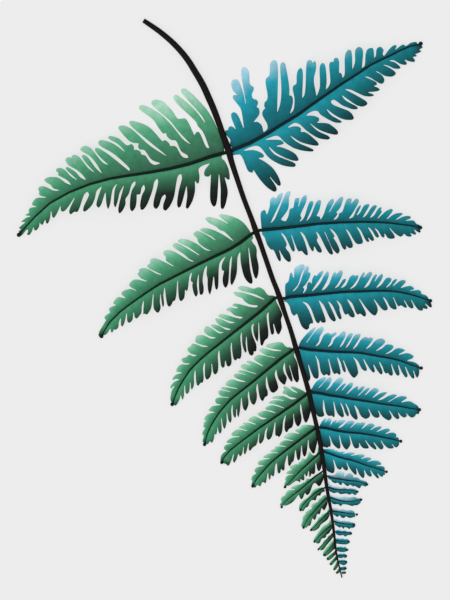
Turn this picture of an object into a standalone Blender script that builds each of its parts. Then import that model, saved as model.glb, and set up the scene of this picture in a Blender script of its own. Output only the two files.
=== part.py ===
"""A fern frond lying face up on a flat surface, its cut end at the back and its tip at the front.

The dark rachis carries a row of pinnae on each side. Each pinna is one thin arched blade, cut nearly
to its midrib into rounded lobes. The rachis and the midribs on top of the blades are one solid.

Plan coordinates are millimetres, x to the right and y from the top of the sheet to its foot. A token
x,y is a point on an outline, and cx,y is the sharp foot of a cleft between two lobes. Outlines run from
the rachis to the tip of the pinna.
"""
import math

import bmesh
import bpy
from mathutils import Vector
from mathutils.geometry import delaunay_2d_cdt

MM = 0.001
BLADE_THICKNESS = 0.8
SEAT_GAP = 0.3
RACHIS_CLEARANCE = 0.4
OUTLINE_TOLERANCE = 0.5
FINEST_TOLERANCE = 0.15
TOLERANCE_SHARE = 0.0045
MIDRIB_TOLERANCE = 0.5
WELD = 0.03
PINCH_GAP = 0.1
# A pinna arches by this share of its midrib's length, and its lobes droop with the square of their reach
ARCH_SHARE = 0.05
ARCH_AT_RACHIS = 0.6
ARCH_STRETCH = 3.2
DROOP_PER_MM = 0.0045
# The rachis is pressed on the surface: its centre stands this share of its radius above it
RACHIS_PRESS = 0.7
RACHIS_LOWEST_CENTRE = BLADE_THICKNESS + SEAT_GAP + 0.5
MIDRIB_TAPER = 0.65
KNOB_SHARE = 1.05

GREEN = (0.075, 0.38, 0.19, 1.0)
TEAL = (0.013, 0.38, 0.46, 1.0)
NEAR_BLACK = (0.008, 0.007, 0.006, 1.0)

# x, y and width of the rachis, from the cut end to the tip of the frond
RACHIS = """
143.5,20.5,4.6 152,26.2,5.2 161,32.7,5.6 174,44,6.0 186.3,58,6.3 195.5,72.4,6.6 202.7,84.7,6.8 208.8,98,6.8
214,110,6.6 219,123.5,6.4 224,137.8,6.3 228.5,150,7.0 231,160,6.1 237.5,180,5.4 244.3,200,5.2 252,220,5.3
255.5,230,6.0 259.2,240,5.3 266.1,260,5.2 273,280,5.1 277,290,5.3 280.5,300,5.8 283.8,310,4.9 290.6,330,4.8
296.5,350,5.4 302.4,370,4.6 308.3,390,5.2 312.8,410,4.6 317.5,430,4.6 321.3,450,4.6 324.4,470,4.0
327.2,490,3.6 330.8,510,3.2 333.6,530,2.8 335.9,550,2.0 337.7,560,1.8 340,570,1.5 342.4,579,1.3
"""

# For each pinna: the radius of its midrib at the rachis, its midrib, and its upper and lower outlines
PINNAE = {
    "pinna_left_01": (
        1.9,
        """228,152 210,157 190,164 170,169 150,172.7 130,175.7 110,179 90,184.5 70,192.3 50,203.4 35,217
        25,228 18,236""",
        """224,150 219.5,138 217,130 214,122 208,111 200,102 195,96.5 190,92 186,89 183,88.3 181.2,89.5 181,91.5
        183,95 190,103.5 198,112 202,116.8 c205,122.5 199,114.3 195,109.8 190,105.3 185,100.8 180,96.8
        176.5,94.8 174,95.5 173.2,97.5 174.5,100.5 178,105 186,113 190,117 193,119.5 196,122.5 197.5,126
        200,129 202.5,132 204.5,137 208,144.5 c209,148 207,147.5 203.5,139.5 200,133 198,131.5 196,132.2
        c194.5,135 191,129 189,124 187,120 184.5,118.2 181,118 c178,118.5 173,111.5 170,109 167,105 163,101.5
        158,99.8 154,99.8 151.5,101.5 151.3,104 153.5,106.5 161,113 170,121.3 178,131.3 182,135.8 186,139.6
        c190,144 187,142.4 183.5,139.4 180,135.4 171,124 161,114.5 156,110.9 150,107.5 145,105.5 141,105
        139,106.5 139.2,109 142,111 150,117 153,120 159,129 161.5,132 163.5,134 c166,133.3 166.5,136
        168.5,138.5 171.5,140.5 175.5,141 177,143.5 180,150 182,152.5 185,154 187.5,156 c188,157.8 185,157.8
        182,156 180,153.5 178.5,150 176.5,147 174,145.8 c170.5,146 169.5,143.5 167.5,141.5 165,140
        c162.5,141.2 158,136 155,132.5 151,128.5 146,125 140,122.5 134,121 130.5,120.8 129,122.5 130,125
        137,131 143,136.3 149,141.3 161,151.3 c166.3,156 156,149.8 150,145.4 144,140.4 138,134.9 133,129.9
        128,126.8 123,125.3 119.5,125.8 118,127.5 119.5,130.5 125,136 128,140 131,142.5 134,143.5
        c138.5,143.9 138,147.5 140,150 144,150.5 147,154 150,158.5 153,161 c160,163.5 155,164.8 151,163
        148.5,159.5 145.5,155.5 142,154.5 140.5,151.5 137,149.8 c134.4,149.8 134,146.5 131.5,144
        c127.5,145.3 124,142.5 118.7,138.3 112,136.2 109.5,136 108,137.5 109.5,139.6 117.6,144.4
        c124.8,151.7 117.3,146 112,142.9 106.4,140.8 101,140 98.5,141.5 98.3,144 100.5,146.5 110.5,152.3
        118,157.8 124.7,164 129.7,169.5 c129.3,170.8 123.6,166.9 118,162.2 112,157.7 107,153.2 102,149.8
        98,148 95.5,148 94.8,150 99,156.3 c108,165 103,162.3 95.5,153.8 92,149 89,146.8 85,145.8 81.5,147.3
        80.2,149.2 81,151 84,153.2 89.8,156.5 96.4,164.2 c101.8,173.3 96.2,168 92,162 87.6,156.8 84,154.8
        82,155.5 82,157.2 85.3,162.6 c94,172.2 88.7,168.1 83.1,161.5 79.8,157.2 77,155.5 74,154.8 71.8,156
        71.5,157.8 69,157 66.5,158 65.3,160 66,162 68,165 72,167.5 77.6,170.9 83.1,175.9 c85.9,180 80.9,177.4
        76.4,172.4 72,169.4 69.5,167.7 67,167 65.5,168.3 69.8,173.1 c77,180 70.9,175.9 65.3,170 61,168 58,168
        56,169.5 56.5,171.8 58.5,173.5 58,175 62,177.5 67.6,180.9 c71.1,184.8 66.4,183 59.8,178.3 57,177.2
        52,176.8 48,177.3 45.5,178.5 44,179.7 45.5,182 50.9,185.6 53.1,188.4 c59.2,190.6 54,190.4 50.9,188.9
        46.5,187 42,186 39,187.2 38.2,189.5 39.3,192 39,194.5 41,196.3 c46.5,197.5 42,198 37.5,197.8
        34.5,199.5 32,204 33,205.8 c36.5,206.7 33,206.9 30,208 28.5,210.5 c29.3,212.5 27,213.7 25,215.3
        c30.5,216.3 26.5,217.5 23,219.8 21,222 c25,222.3 22,225 18.7,228.3 c21,229.2 18.5,231.5""",
        """222,158 225,161 227.5,166 229.3,171 229.8,176 229.5,179.8 227.5,179.7 c225,177.5 227,185 228,191
        227.5,197 226.5,202 225,206.5 223,209.3 221,208.5 220.3,204 220.3,188 c219,174.6 218.2,188 217.8,196
        217,202 215.5,206 213.5,206.8 211.5,204.5 210,200 209.7,192 210,184 c210.6,174.8 209.5,176.5 207,177
        204.5,176 203.8,173 205,169.5 207,166.5 c209.5,163.8 204,165.5 200.5,167.5 199,169.5 199.8,177
        199.5,181 198.5,183.8 196.5,183.3 c195.2,181.2 195.5,186 195.3,191 194,197 192.3,202 190,206
        187.5,209 185.8,208 186,203 186.9,196 c186.6,186.6 185.2,192 183.6,198 182.3,203 180.5,207
        178.5,208 177,205.5 177.5,199 178.5,191 180,184 181.7,178 c181,174.4 178.6,176 177,183 175.8,190
        174.3,197 172,203 169,208 165.5,211 163.2,209.5 163,205 164.3,200 165.6,196.5 c164.8,194.8
        162.3,197.5 161,202 159,206.5 156,209.3 153.7,207.5 153.2,203 154.5,196 156,189 158,182
        c157.3,179.2 154.8,182 153.3,189 151.5,195 149.5,200 147,205.5 143.5,209.8 141,210 140,207
        140.3,202 142,195 144.8,189 c144,185.2 142.1,188 140.3,194.5 c137.2,195 136.5,199 136.8,203
        135.5,208 132.5,211.5 130.3,210 129.8,205 130.3,197 132,190 135.2,184.5 c135.3,181.6 132.3,184.5
        130.3,190 129.3,194 126,199.5 126,204 124.5,208 122,212 119.5,213.8 118.1,210.6 119.2,204.4
        121.4,196.7 c123.7,186.2 120.1,193.3 117.9,202.2 115.6,207.7 114,205.6 113.9,197.8 115,188.9
        c117,184.5 113.5,188.9 112.4,196.7 110.5,204.4 108.4,209.4 106.7,206.1 106.4,198.9 c105.6,192.9
        104,196.7 102.6,202.2 100.9,206.1 98.7,208 96.4,205.6 97.5,200 99.4,193.3 c101.8,187 97.4,191.1
        95.3,198.9 92.6,205 89.2,208.9 84.8,212 83.1,210.6 83.7,206.7 86.6,200 88.9,194.4 c87.6,192.3
        85.1,194.4 83.1,198.9 81.4,204.4 79.2,208.9 77.6,212.2 c74.6,212.2 70.9,214.7 69.2,212.8
        69.6,209.4 72.2,203.5 c74.8,198.1 70.7,203.5 68.3,207.5 65.5,210.8 62.6,212 60.9,210.6 c60.6,206.5
        59.6,209.2 57,214.4 53.7,218.3 52.2,216.7 c51.4,211.2 50.9,216.7 49.8,220.6 47.6,224.1 45.9,222.8
        c45.4,220 42.6,225.1 40.3,223.9 c40,222.8 39.2,227.2 35.9,230.9 34.2,230 c33.4,227.6 32.4,231.1
        29.2,235.3 26.8,234.4 28,231.1 c27.2,229.6 24,233 21,236""",
    ),
    "pinna_right_01": (
        1.9,
        """231.5,150.5 240,147.3 250,143.2 260,137.8 270,132.3 280,125.8 290,120 300,113.7 310,106.3 320,99.3
        330,92.4 340,85.4 350,79 360,72.6 370,65.6 380,60.6 390,56 400,50.8 410,46.5 418,44.8 422,43.2""",
        """232.7,149 230.5,144 230,140 228.5,137.3 226,134.7 225.3,132 226,130 c227.8,130 228.3,127.5 230.8,126
        233.5,127 c235.5,129 233.5,125 232,121 231,117 231.2,113.5 233.5,112 235.5,112.5 238,115 240,119.5
        242,124 c243.7,128 242.8,122 242.3,118 241.3,112 240,108 236.5,103 233.8,99.5 232.5,97.5 233.5,95
        236,94.7 c237,95 233,91 231.8,88 231,84 232,80.5 235,79.2 238,80 240,84 241.5,88 243.2,92 244.5,97
        c245.7,103.7 244.8,95 243,88 242.3,82 241.5,76 241,71 242,68 244.3,67 247,68.5 249,72 250,77 250.3,83
        c250.5,84.7 253.3,86.5 254,89 253,92 252,95.3 252.5,97.5 c253.3,98.5 257,100 258.3,103 258,105.5
        c257,107 259,108.5 259.8,112 259.3,115 257.5,118 255.5,120.3 c254,122 257,121.7 260,123.3 262,125.7
        263,128.5 263.2,131 c263.7,132 265.5,131 267,129 267,125 265.7,121.7 263,118 262,115 262.3,111.5
        264,109 265,108 c264,107 264,104 264.6,102 266,101 267.3,97 267,91 266,86 265.3,82 266,78.5 268.3,76
        c269,75.5 269,70 270,64 272,60.7 274,60 276.5,61 277.8,65 277.9,72 278,85 278,95 277.8,105 c277.4,112
        280,103 281,90 280.5,75 280,66 281,63 282.8,62 285,63.5 286.3,68 287,75 288.5,82 289.5,88 290,94
        c289.5,95.5 291.5,96 293,99 292.7,105 291.5,110 c290.2,113.5 293,110 294,104 294,98 293,93 292.3,89
        293,86 295,84 c295.8,84 296.3,76 297.5,71 300.2,68 302.3,69.5 302.5,75 302,85 302,92 c302.4,98 304,95
        305,88 305.5,80 306,70 306.2,64 307.3,61 309.5,60 311.5,60.7 312.3,62.5 c312.7,63 314.3,61 316,63
        316,70 315,76 314,80 315,85 315.8,90 c316.5,96 318,92 319.2,88 319,80 319.2,72 319.7,66 322.3,63
        324.7,64.5 325,70 325.7,77 326.7,82 326.7,86 c326,89.3 328,87 329.7,83 329.7,77 329,70 329,64 330.5,62
        332.7,62 c333,62 333.5,59.5 335.7,57.7 338.5,59.5 339.2,64 339,72.5 c339.2,73 340.5,73 342,75
        c342.5,78 344,75 344,68 344.3,58 345.5,53 348.5,49.7 351,50.7 352,55 352,62 c352.4,69 354.5,62
        354.5,54 355.3,49.5 358.5,47 361.5,48 363,51 362.8,58 362.5,63 c362,68 364,66 365,60 365.3,54
        367.3,49.3 370.5,48 372.7,48.3 373.7,50.5 374,55 c374.3,58 375.5,55 376,50 378,47.3 381,47 382.5,48.5
        383.7,50.5 382.8,54 c383.7,56 386,53.5 388.5,50 391,47 394.5,45 396.5,45.5 396.7,47 c395.3,49.5
        397.5,48 399.5,46.3 402.5,44.5 404,44.6 c405.5,45.8 408,44 411,42.5 414,42 416.5,42 417.5,43.5""",
        """233,155 237,155 240,155 242,157.5 243.3,161 244.5,164 246,168 247.5,170.5 249,172 251,172.8 252.8,172.8
        c253.3,170.3 256,175 260,180 264,184 267.5,188 271,190.5 274.5,192 276.5,191 277,189.5 276,186
        274,182.5 270,177 265,170.5 260,165.5 c256,162 258,163 262,168 267,174 272,180 276,184 278,185.7
        280,186 281,184.7 280.3,181 279,177.5 276.5,173 273,168 269,164.5 264,161 c258.7,158.3 261,157.8
        263.5,157.6 264.2,156.3 263.5,154.5 261,152.5 258,151 254,150 250,149.8 247,150.3 c243.8,150.5
        248,149 252,147 256,146.3 259.5,147.3 262,150 265,153.7 268,157.3 272,160.5 276,162.5 280,164.7
        285,166.3 290,167 294.5,167 296,165.5 295.5,163.7 293,162 288,160 282,158 276,155 272,151.5
        c269,147.3 272,150 277,154 283,156.7 288,159 292,160.7 295,161.3 298,161 298.8,159.7 298,157.3
        296,154.5 292,151.5 287,149 282,147.3 c276.5,146.3 280,145.3 282.5,144.7 284,143.5 282.5,141.3
        280,140 276,139.7 271,139.7 268,140 c265.8,139.7 269,138.5 273,137 276.5,136.3 280,138 282.5,141
        286,143.7 290,146.5 295,149 299,150 304,151.3 309,151.7 312.5,151.7 313.9,150.8 313.3,149.5 311,148
        305,146 300,143.5 295,140.5 c290.7,136.3 294,139 299,141.8 304,143.7 309,145 313,145.8 317.5,146
        318.9,145 318,142.5 315,139.5 312,137 309,134.7 306,132.5 302.5,131.5 c300.8,131.7 301.2,129
        299.3,127 296.5,126.3 294,126.3 291,127.3 c288,127.8 291,125.3 295,123.5 299,124.7 302,127.7 306,131
        311,134.5 316,137.5 321,139.3 325,140 328.5,139.8 330,138.7 329.8,137.3 328,135.7 323,133.5 318,131
        314,128 c310,124 313,126.5 318,129.7 323,132 328,133.7 332,134.7 337,135 338.2,133.7 338,131.5
        336,129 333,126.7 330,124.5 327,123.3 322,122.8 c317,122.7 319,121.5 319.3,120 319,118.3 317,117
        314,116 311,115.7 c306.5,115.6 310,113 314.5,111.5 317.5,112 320,115 325,118 330,121 335,123
        340,123.3 342,122.3 341.5,121.3 339,119.7 335,117.7 331,115 328,111.5 c326.5,109.7 330,112.5 335,116
        340,118.7 344,120 349,120.3 352.5,120 354,118.5 353.5,116.5 352,114 349,111.3 345,109.5 340,107
        336,105.5 332,104 c331,101.5 333.5,100.5 337,103 342,106 347,108 352,109.7 356.5,109.7 358,108.7
        357.5,107.3 355,106 350,103.3 345,100 343,97.5 c342,96 345,98.5 350,101.7 355,105 359,106.7 363,107
        366.5,105.5 367.5,103.8 366.5,101.7 363,99.5 360,97.5 357,96 353,94 349,92 c345.3,89.7 350,90.3
        355,92.7 360,95 365,96.7 370,97 373,96.5 374,95.5 373,94.3 370,93.5 366,92 362,90 359,88 c356.3,87.1
        360,88 364,90.5 368,92.7 373,92.3 377,91.7 379.7,90.3 379,88.5 377,87.3 c374,86.2 376.5,85.5 377,84
        376,82.3 373.5,81 370,79.3 367,78 c365,77 369,78 373,80 376,82 379,83.7 381.5,84.3 383.7,83
        384.5,80.5 383.5,77.5 381.5,75 378,73 375.5,71.5 c373,71 377,72 381,74 384.5,76.3 388,77 392,77
        395,75.3 396,73.5 394.5,71.3 391.5,69 388.5,67.3 386,66 c383.5,65.3 388,66.3 391,67.7 394,69
        397.5,69.3 400,68.8 400.5,67.3 399,65.7 396.5,63.5 394,62 392,61.3 c389.5,61 393,60.7 395.5,61.7
        398,63 401,64.7 404,65 406.3,65 407,63.3 406,61.5 c404.8,60 407,60.7 409,61.7 412,62 414.7,62
        415,60 414,58.5 c413,57.3 417,56.3 416.7,55.3 c415.3,54.7 421.7,51.3 421,50.5 c419.5,50 423,47""",
    ),
    "pinna_left_02": (
        1.7,
        """254,232.5 251,234.5 240,243 230,249.2 220,254 210,258.8 200,263.7 190,268.8 180,273.8 170,279 160,284
        150,290.3 140,297.2 130,304.3 120,312 110,322 104,331.5 101,337.5""",
        """251,232.3 249,229.5 246,226 243,222 240,219.7 235,217.3 230,215.7 225,214.5 220.5,214 219,215.3
        219.7,217 222,219 225,221.7 c228,223.7 222,220.5 217,218.7 212,217.3 207.5,217 205,218.7 206,220.7
        208.5,223 212,225 215.5,226.7 217,228.5 220,230.3 224,232 226.5,234.5 229,237.5 c233,240.7 229,238.5
        225,235.9 221,233.3 216,231 211,229 206,228 202,228.2 200,229.5 200.3,230.7 203,232.2 207,234.5
        210.5,236.3 c215.5,240 210,237 205,234.3 200.5,231.6 197,231 194.3,232.3 193,234 194,236 196.5,238
        197.3,240 198.5,243 201,245.3 204,247.5 207,249.5 c210.5,250.5 206,249.9 202,247.2 198,244.3 194,242
        190,240.3 185,239 180.5,239 178.2,240.3 178,242 180,243.2 184,245 188,247.3 193,250.7 197,253.5
        c199.5,255.3 195,252.9 190,249.9 185,247 180,244.2 177,243 174.5,243.3 172.5,245 173,247 176,249.3
        180,252 184,254.7 185.7,256.7 189,259.2 c193.5,261.5 190,260.6 185,257.8 180,254.8 176,252.3
        171,250.3 166.5,250 163.5,251.7 163,254 164.5,256.3 165.7,257.5 165.5,259.8 166.5,261.4 170,263.7
        c173.7,266.3 170,264.9 166,262.8 162.5,260.6 158,258.9 154,258 150.5,259.3 149.7,262 149.5,263.7
        147.5,265 147,266.7 148,268 152,270 157,272.6 c161.5,274.8 157,273.5 152,270.9 148.5,269 144,267.9
        140.5,268.5 139,269.5 139,272 137.3,273.5 138.5,276 141,278.5 144,280.2 c147,281.4 144,281.2 141,280
        136,279.2 132.5,280.3 130,283 129,284.7 129.5,286.3 132,288 c136.5,290.8 134.5,290 131,288.8
        127,289.5 123,291 121.2,293.3 122,295 124,297 c125.5,298 122.5,297.3 118,297 115.5,299 113.5,302
        113.3,304 115,304.7 c116,305 113,306 110,307.3 108.8,309.5 109.7,312 c110,312.5 107,314 105,316
        104.3,318.3 105,319.5 c106,320 104,323 101,328 99,332 98.3,335 99.3,337""",
        """253.5,237.8 252,240.5 253.5,243.5 256,246.5 257,250 257,256 258,262 259,267 259,271 258,276 256.3,279
        255,278.3 253,273.5 251.6,268 250.9,261.5 249.8,255.5 c248.5,247.7 248.8,256 249.8,262 250.4,268.5
        251.7,274.5 252.8,280 252.7,282.5 251.5,284 249,283.3 247,281.5 244,277 242,270 240.5,263 239.9,257
        c240,252.3 238,257 237.3,265 237,273 235,280 231.8,285.3 230.3,283 230.4,276 231.1,268 231.5,262
        c231.7,256.3 230.2,261 229.3,270 229,278 228,285 225.5,288 223.5,286 222.3,280 223,275 223.7,271
        222,270.5 221.3,267 222.5,262 224,259 c225,257 222,260 219.7,264 219,270 218.7,278 218.7,284
        218,288.5 216.5,290 215.2,288.5 215,283 214.5,280 c213.7,276.7 213,280 212.3,286 211.5,291
        209.8,295 208,291 207.3,285 207.3,279 206.3,274 206.5,269 c206.8,266 205,269 203.5,275 203,281
        204,288 203.5,293 202,295 200,294.7 199,291 199.1,284 199,279 c198.5,274.5 197.9,279 197.3,284
        197.7,289 198,294 196,297 194,294.5 192.7,290 192,285 192.5,283 190.7,281 191,276 c191.7,272.7
        190,276 189.3,281 189,286 188,289.7 187,291.5 185.8,290.5 c185.3,290 185,296 184,299 181,301.5
        179,299 178.2,294 177.9,288 c177.7,280.7 176.7,288 176.4,295 175.5,300 173,302 172,304.5 169.5,307
        167.5,305.5 166.3,301 165.3,295 c164.7,287.7 163.8,295 164.3,301 164.3,305 163,307.5 162,305
        161.2,300 c160.5,294.3 160.3,302 161,307 160,311 158,313 155.5,311.3 154,309.5 154,303 153.8,298
        c153.3,294 152,303 151.5,308 149.5,312 147,314.7 144.7,314 143.5,314.7 143.3,311 143.8,305
        c143.7,301 142.3,306 141.7,313 140,315.5 137,318.7 135,318 134,315 c133.7,312.5 133.3,316 132.7,320
        129.5,323 127.5,322 127,318 c126.7,313.3 125.7,317 124.7,323 122.5,326.7 121,325.5 121,321
        c120.7,318.5 119.3,322 118.5,327.5 116,330 c114.3,329.8 112.5,332.7 111,332.3 110.7,330 c110.3,329
        109.5,330.5 107.5,333.5 105.5,335""",
    ),
    "pinna_right_02": (
        1.7,
        """257,230.8 260.3,230.3 270,229.4 280,228.6 290,227.4 300,226.3 310,225 320,223.8 330,223.3 340,222.6
        350,222.5 360,222.1 370,222.2 380,222.5 390,223.1 400,224.4 410,225.6 420,227.5 421.5,228.2""",
        """261,225.5 261,222 260.3,218 260.3,214 261,211.7 263.5,210 265,210 266,211.7 c267,214.3 268.3,210
        269.5,206 270,200 272.5,197 274.5,197.3 c275,198.4 277,197 278,195 281,193 282.8,193.2 283,195
        282.3,198 280,203 277.5,209 275,214 c271,222.7 274,219.5 276.5,214.5 279.5,208 282,201 284.5,195.5
        286.5,192 289,191 290.7,192 290.5,194.5 289.3,198 289,204 288.3,209 286,213 283.5,216.5 281.3,219.4
        c283,220.5 285.5,221 287.7,217 289,213 289.3,210 290.5,208.3 292.7,207.7 293.5,205 294,201 295,198.7
        297.5,197.7 299.3,198.5 299.5,201 298.9,204 c298.3,206.7 300,202.5 302,197.5 305,195 306.5,195.3
        307,198 306,203 303.5,209 301,214 300.7,216 301.7,218 c299.8,221.5 302.7,219 304.3,216 306.3,211
        307.7,206 309.3,202 311.7,200.7 313.5,202 313.2,205 311.9,209 310.2,213 308.2,217 c306.7,220.7
        310,216.5 312.7,211 314.5,205 316.5,201.5 319.5,199.7 321,200.5 320.7,205 319.5,210 317,214.5
        316.7,216 319,216.3 320.3,217.5 c320.5,219.3 323,215 325,210 326.5,205 329,201 332,198.7 334,199.5
        334,202 332.5,205.5 330.2,209 c329,212.3 331.5,209.3 334.2,204.3 337,200 341.5,196.5 343.3,197.7
        343,200.5 341.5,205 339.5,209 337.3,211 336.5,212.5 337.6,214 336.3,216.5 c333.8,219.7 335.7,218.9
        338,216.3 338.7,213.3 341.5,212 343,209 345,203 346.5,199.5 349.5,198.2 351.5,199 351.8,201
        c351,203.5 353,201 355,199 357,198.5 358.7,200 358.8,202 357.3,205 354.8,208.5 353.7,211.5 352,214.5
        c349,218.5 352.5,216.8 354.7,213 356.3,209 358.7,206 360.5,205 361,206 360,209 358.3,212 c356.7,215.3
        359.5,212.7 361.7,209 363.7,205.5 367,204 369.5,204.5 369,206.5 366.7,209 366,211 364.2,214
        c363,217.3 365.7,215.2 368.2,211.5 370.5,208 373.5,205.3 375.5,205 377,206 376.3,208 374.7,210
        373.5,212.5 371.2,215.5 c370,217.7 373.2,215.7 375.7,212 378,208.5 380.5,207 381.8,208 381,210
        382,211.5 380.3,215 378.8,217 c377.5,218.5 381.2,215.7 384.5,212 388,209.7 391.5,208.8 393,210
        392,212.5 390.2,215 c386.8,219 390.7,216.7 393.5,214.2 397,213 401.5,212.8 403,213.7 401.3,215.5
        398.8,217.5 c396,219.7 399.7,218.2 403,216.4 407,215.7 410,216 411,217 410,219 408.5,220
        c405.8,220.5 409,220.6 412,220 414,220.5 415.5,222 416.5,223.5 419.5,224.7 420.5,226""",
        """262,234.5 264,237 265,240.5 266.7,244.5 269,248 271.3,250 273,250 274.3,252 276,256 278,260 280,261.7
        281,260.5 280.8,256 279.5,251 277.3,247 275.5,243 c274.3,240.5 277,246.9 279.8,251.2 282,255
        285,259.5 289,262.3 291,261 291,258 290,253.5 288,250 286,247.7 286.5,245.5 287,244.5 285,240
        c281.2,233 284.5,236 286.8,239.7 288.7,244 290.7,248 292,251 293.7,252 295,250.5 294.7,247
        293.3,242 292,238 c291.3,235 293.3,239.5 295.2,244.5 296.7,249 298.5,251.7 300,252 c301.5,251.3
        304,254 307,255.7 308,254.5 307.5,251.5 306,248 305,244 304.5,240.5 302.5,236 c300.3,232 303.7,235
        306,239.5 308,244 310,248.5 312.5,251.7 313.7,251 313.8,249 c314.2,246.7 315.5,249 317.5,252
        320.5,253 322,252 321.5,249 320,246 317.5,241.5 317,240 318,238 c316.3,232 318.7,235 321,240
        323.5,245 326.5,250 329.5,254 332,255 333.2,253.5 332,250.5 330.2,246.5 328.1,241.5 326.1,237
        c324.4,231.8 325.8,234 328.4,239.5 330.8,245 333,250 334.5,252 337.5,254 339.5,252 339.7,249.5
        338,246 336,241.5 333.5,238 334.7,236.5 333,233 c330,229 333.3,231.5 336.7,236 339,241 341,245.5
        342.5,248.5 344.5,250 346.3,249 346.5,247.5 c346.3,246 347.5,247.5 350,248.5 352.5,247.5 353,245
        352,241.5 350,237.5 347.8,233.5 c346,229.5 348.7,232.5 351.2,236.5 353.7,241 356,243.7 358,244.5
        361,243.7 362.5,243.5 363,241.5 361.5,237 360,233 358.3,229.5 c356.8,227.3 359.7,230 361.7,234
        363.7,238 366,241.3 368,242.3 369.5,241.3 c368,238 370,240 372,241.3 374,240.5 374,238.5 372.3,234.5
        369.8,230.5 c368,227.3 371.7,231 373.7,234.5 375.5,237 377.5,238 379,237 378.6,234.5 376.8,231.5
        c374.8,228.5 377.7,231 379.7,234.5 381.5,237 383,238 384.5,237 384.7,235 c384.5,233.8 386,236.5
        388,238.5 390,238.7 392,238.3 394,238.7 395,237.3 394.3,235 392.2,232 c389.5,228.3 392.7,231.5
        395.2,234 398,236 400.5,237 402.5,236 c404,234 406,236 410,237 412,235.7 411,234 c410.5,233.5
        413,234.5 415.5,235 416.3,233.5 415.5,231.5 c414,229.8 416.5,231.5 419.5,233 421,232 420.5,230.5""",
    ),
    "pinna_left_03": (
        1.6,
        """279,297 275,298 270,302.7 260,311.8 250,319.7 240,327.6 230,335.3 220,343.4 210,351.2 200,359.7
        190,370 183.3,380 178.2,389 174.5,398 171.8,405.5""",
        """275,296.3 272.9,295.3 270.5,295.3 268.4,294.9 266.6,292.4 264,289.7 261.3,287.9 258.2,287 255.5,287.4
        c253.7,288.4 250.3,287.6 247,286.5 243.4,286 240,286 237.6,287.6 238.4,289.5 240.8,290.8 245,291.8
        250,293.2 255,294.7 260,297.1 c264.5,299.5 261.3,298.7 257.6,297.1 253.4,295.5 248.7,293.9 243.4,292.6
        239.2,291.8 235.5,291.7 233.2,292.4 233.7,294 235.5,295.8 238.7,297.6 242.4,298.7 243.4,300.5
        246,302.6 249.2,304.5 252.4,305 256.6,305.3 c257.6,305.8 256.6,306.8 252.4,307 248.2,306.3 244,305
        239.7,304 236,303.3 233.4,303.7 232.1,305.5 234,306.6 c238,307.6 235.5,308.1 231.8,307.2 228.7,307.4
        226.6,308.7 226,310.3 228.2,311.3 230.3,312.1 231.8,313.7 234.5,315.5 238.2,316.8 c242.4,317.4
        240.8,318.3 236.6,317.6 232.9,316.6 229.2,315.5 225,314.7 221.4,313.8 218.6,315 218.2,316.4
        219.5,317.5 224.1,319.1 228.6,320.9 231.4,322 c234.5,322.5 230.5,322.9 225,320.5 220.5,318.6
        216.8,318 215,319.1 215.5,320.9 217.7,323.2 219.5,325.5 223.2,327.3 226.8,328.6 c230.5,329.4
        226.8,329.5 221.4,327.3 217.7,325 214.1,324.4 211.4,324.5 210.9,325.9 213.2,327.7 216.8,330.5
        219.5,332 c223.2,332.5 219.5,332.9 215.9,331.1 212.3,328.2 209.5,326.8 205.9,326.4 205,327.3
        205,328.6 203.6,330.5 204.1,332.3 205.9,334.1 209.5,336.4 212.3,337.4 c215.5,337.7 211.4,338.3
        206.8,336.2 203.2,335 198.6,335 196.4,335.9 195.9,338.2 195,340 195.5,342.3 198.6,343.6 202.3,345.3
        205,346.1 c207.7,346.4 203.2,346.5 198.6,344.6 195,343.6 191.8,343.6 190.9,345.5 189.5,346.8
        187.3,348.2 187.1,350 189.1,351.8 190.5,353.6 193.2,354.9 c196.4,355.5 193.2,355.9 190.5,354.8
        187.7,355 186.8,356.4 184.1,357.3 181.8,358.4 181.2,360 182.7,361.4 183.6,363 186.8,363.3
        c189.5,363.6 186.8,364.3 181.4,364.1 179.5,365 177.7,367.3 176.6,368.6 176.1,371.4 178.2,372.1
        c181.8,372.7 178.6,373.3 175.9,374.5 173.6,376.4 172.5,378.2 172.5,380.3 175.9,379.1 c179.1,379.4
        176.8,380.3 174.1,381.8 171.4,384.5 170.3,386.4 170.5,388.6 171.8,388.6 173.2,386.8 c174.5,386.4
        173.2,388.4 171.8,390 171.2,392.7 170.5,395.5 170.2,399.1 170.9,401.8""",
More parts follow.
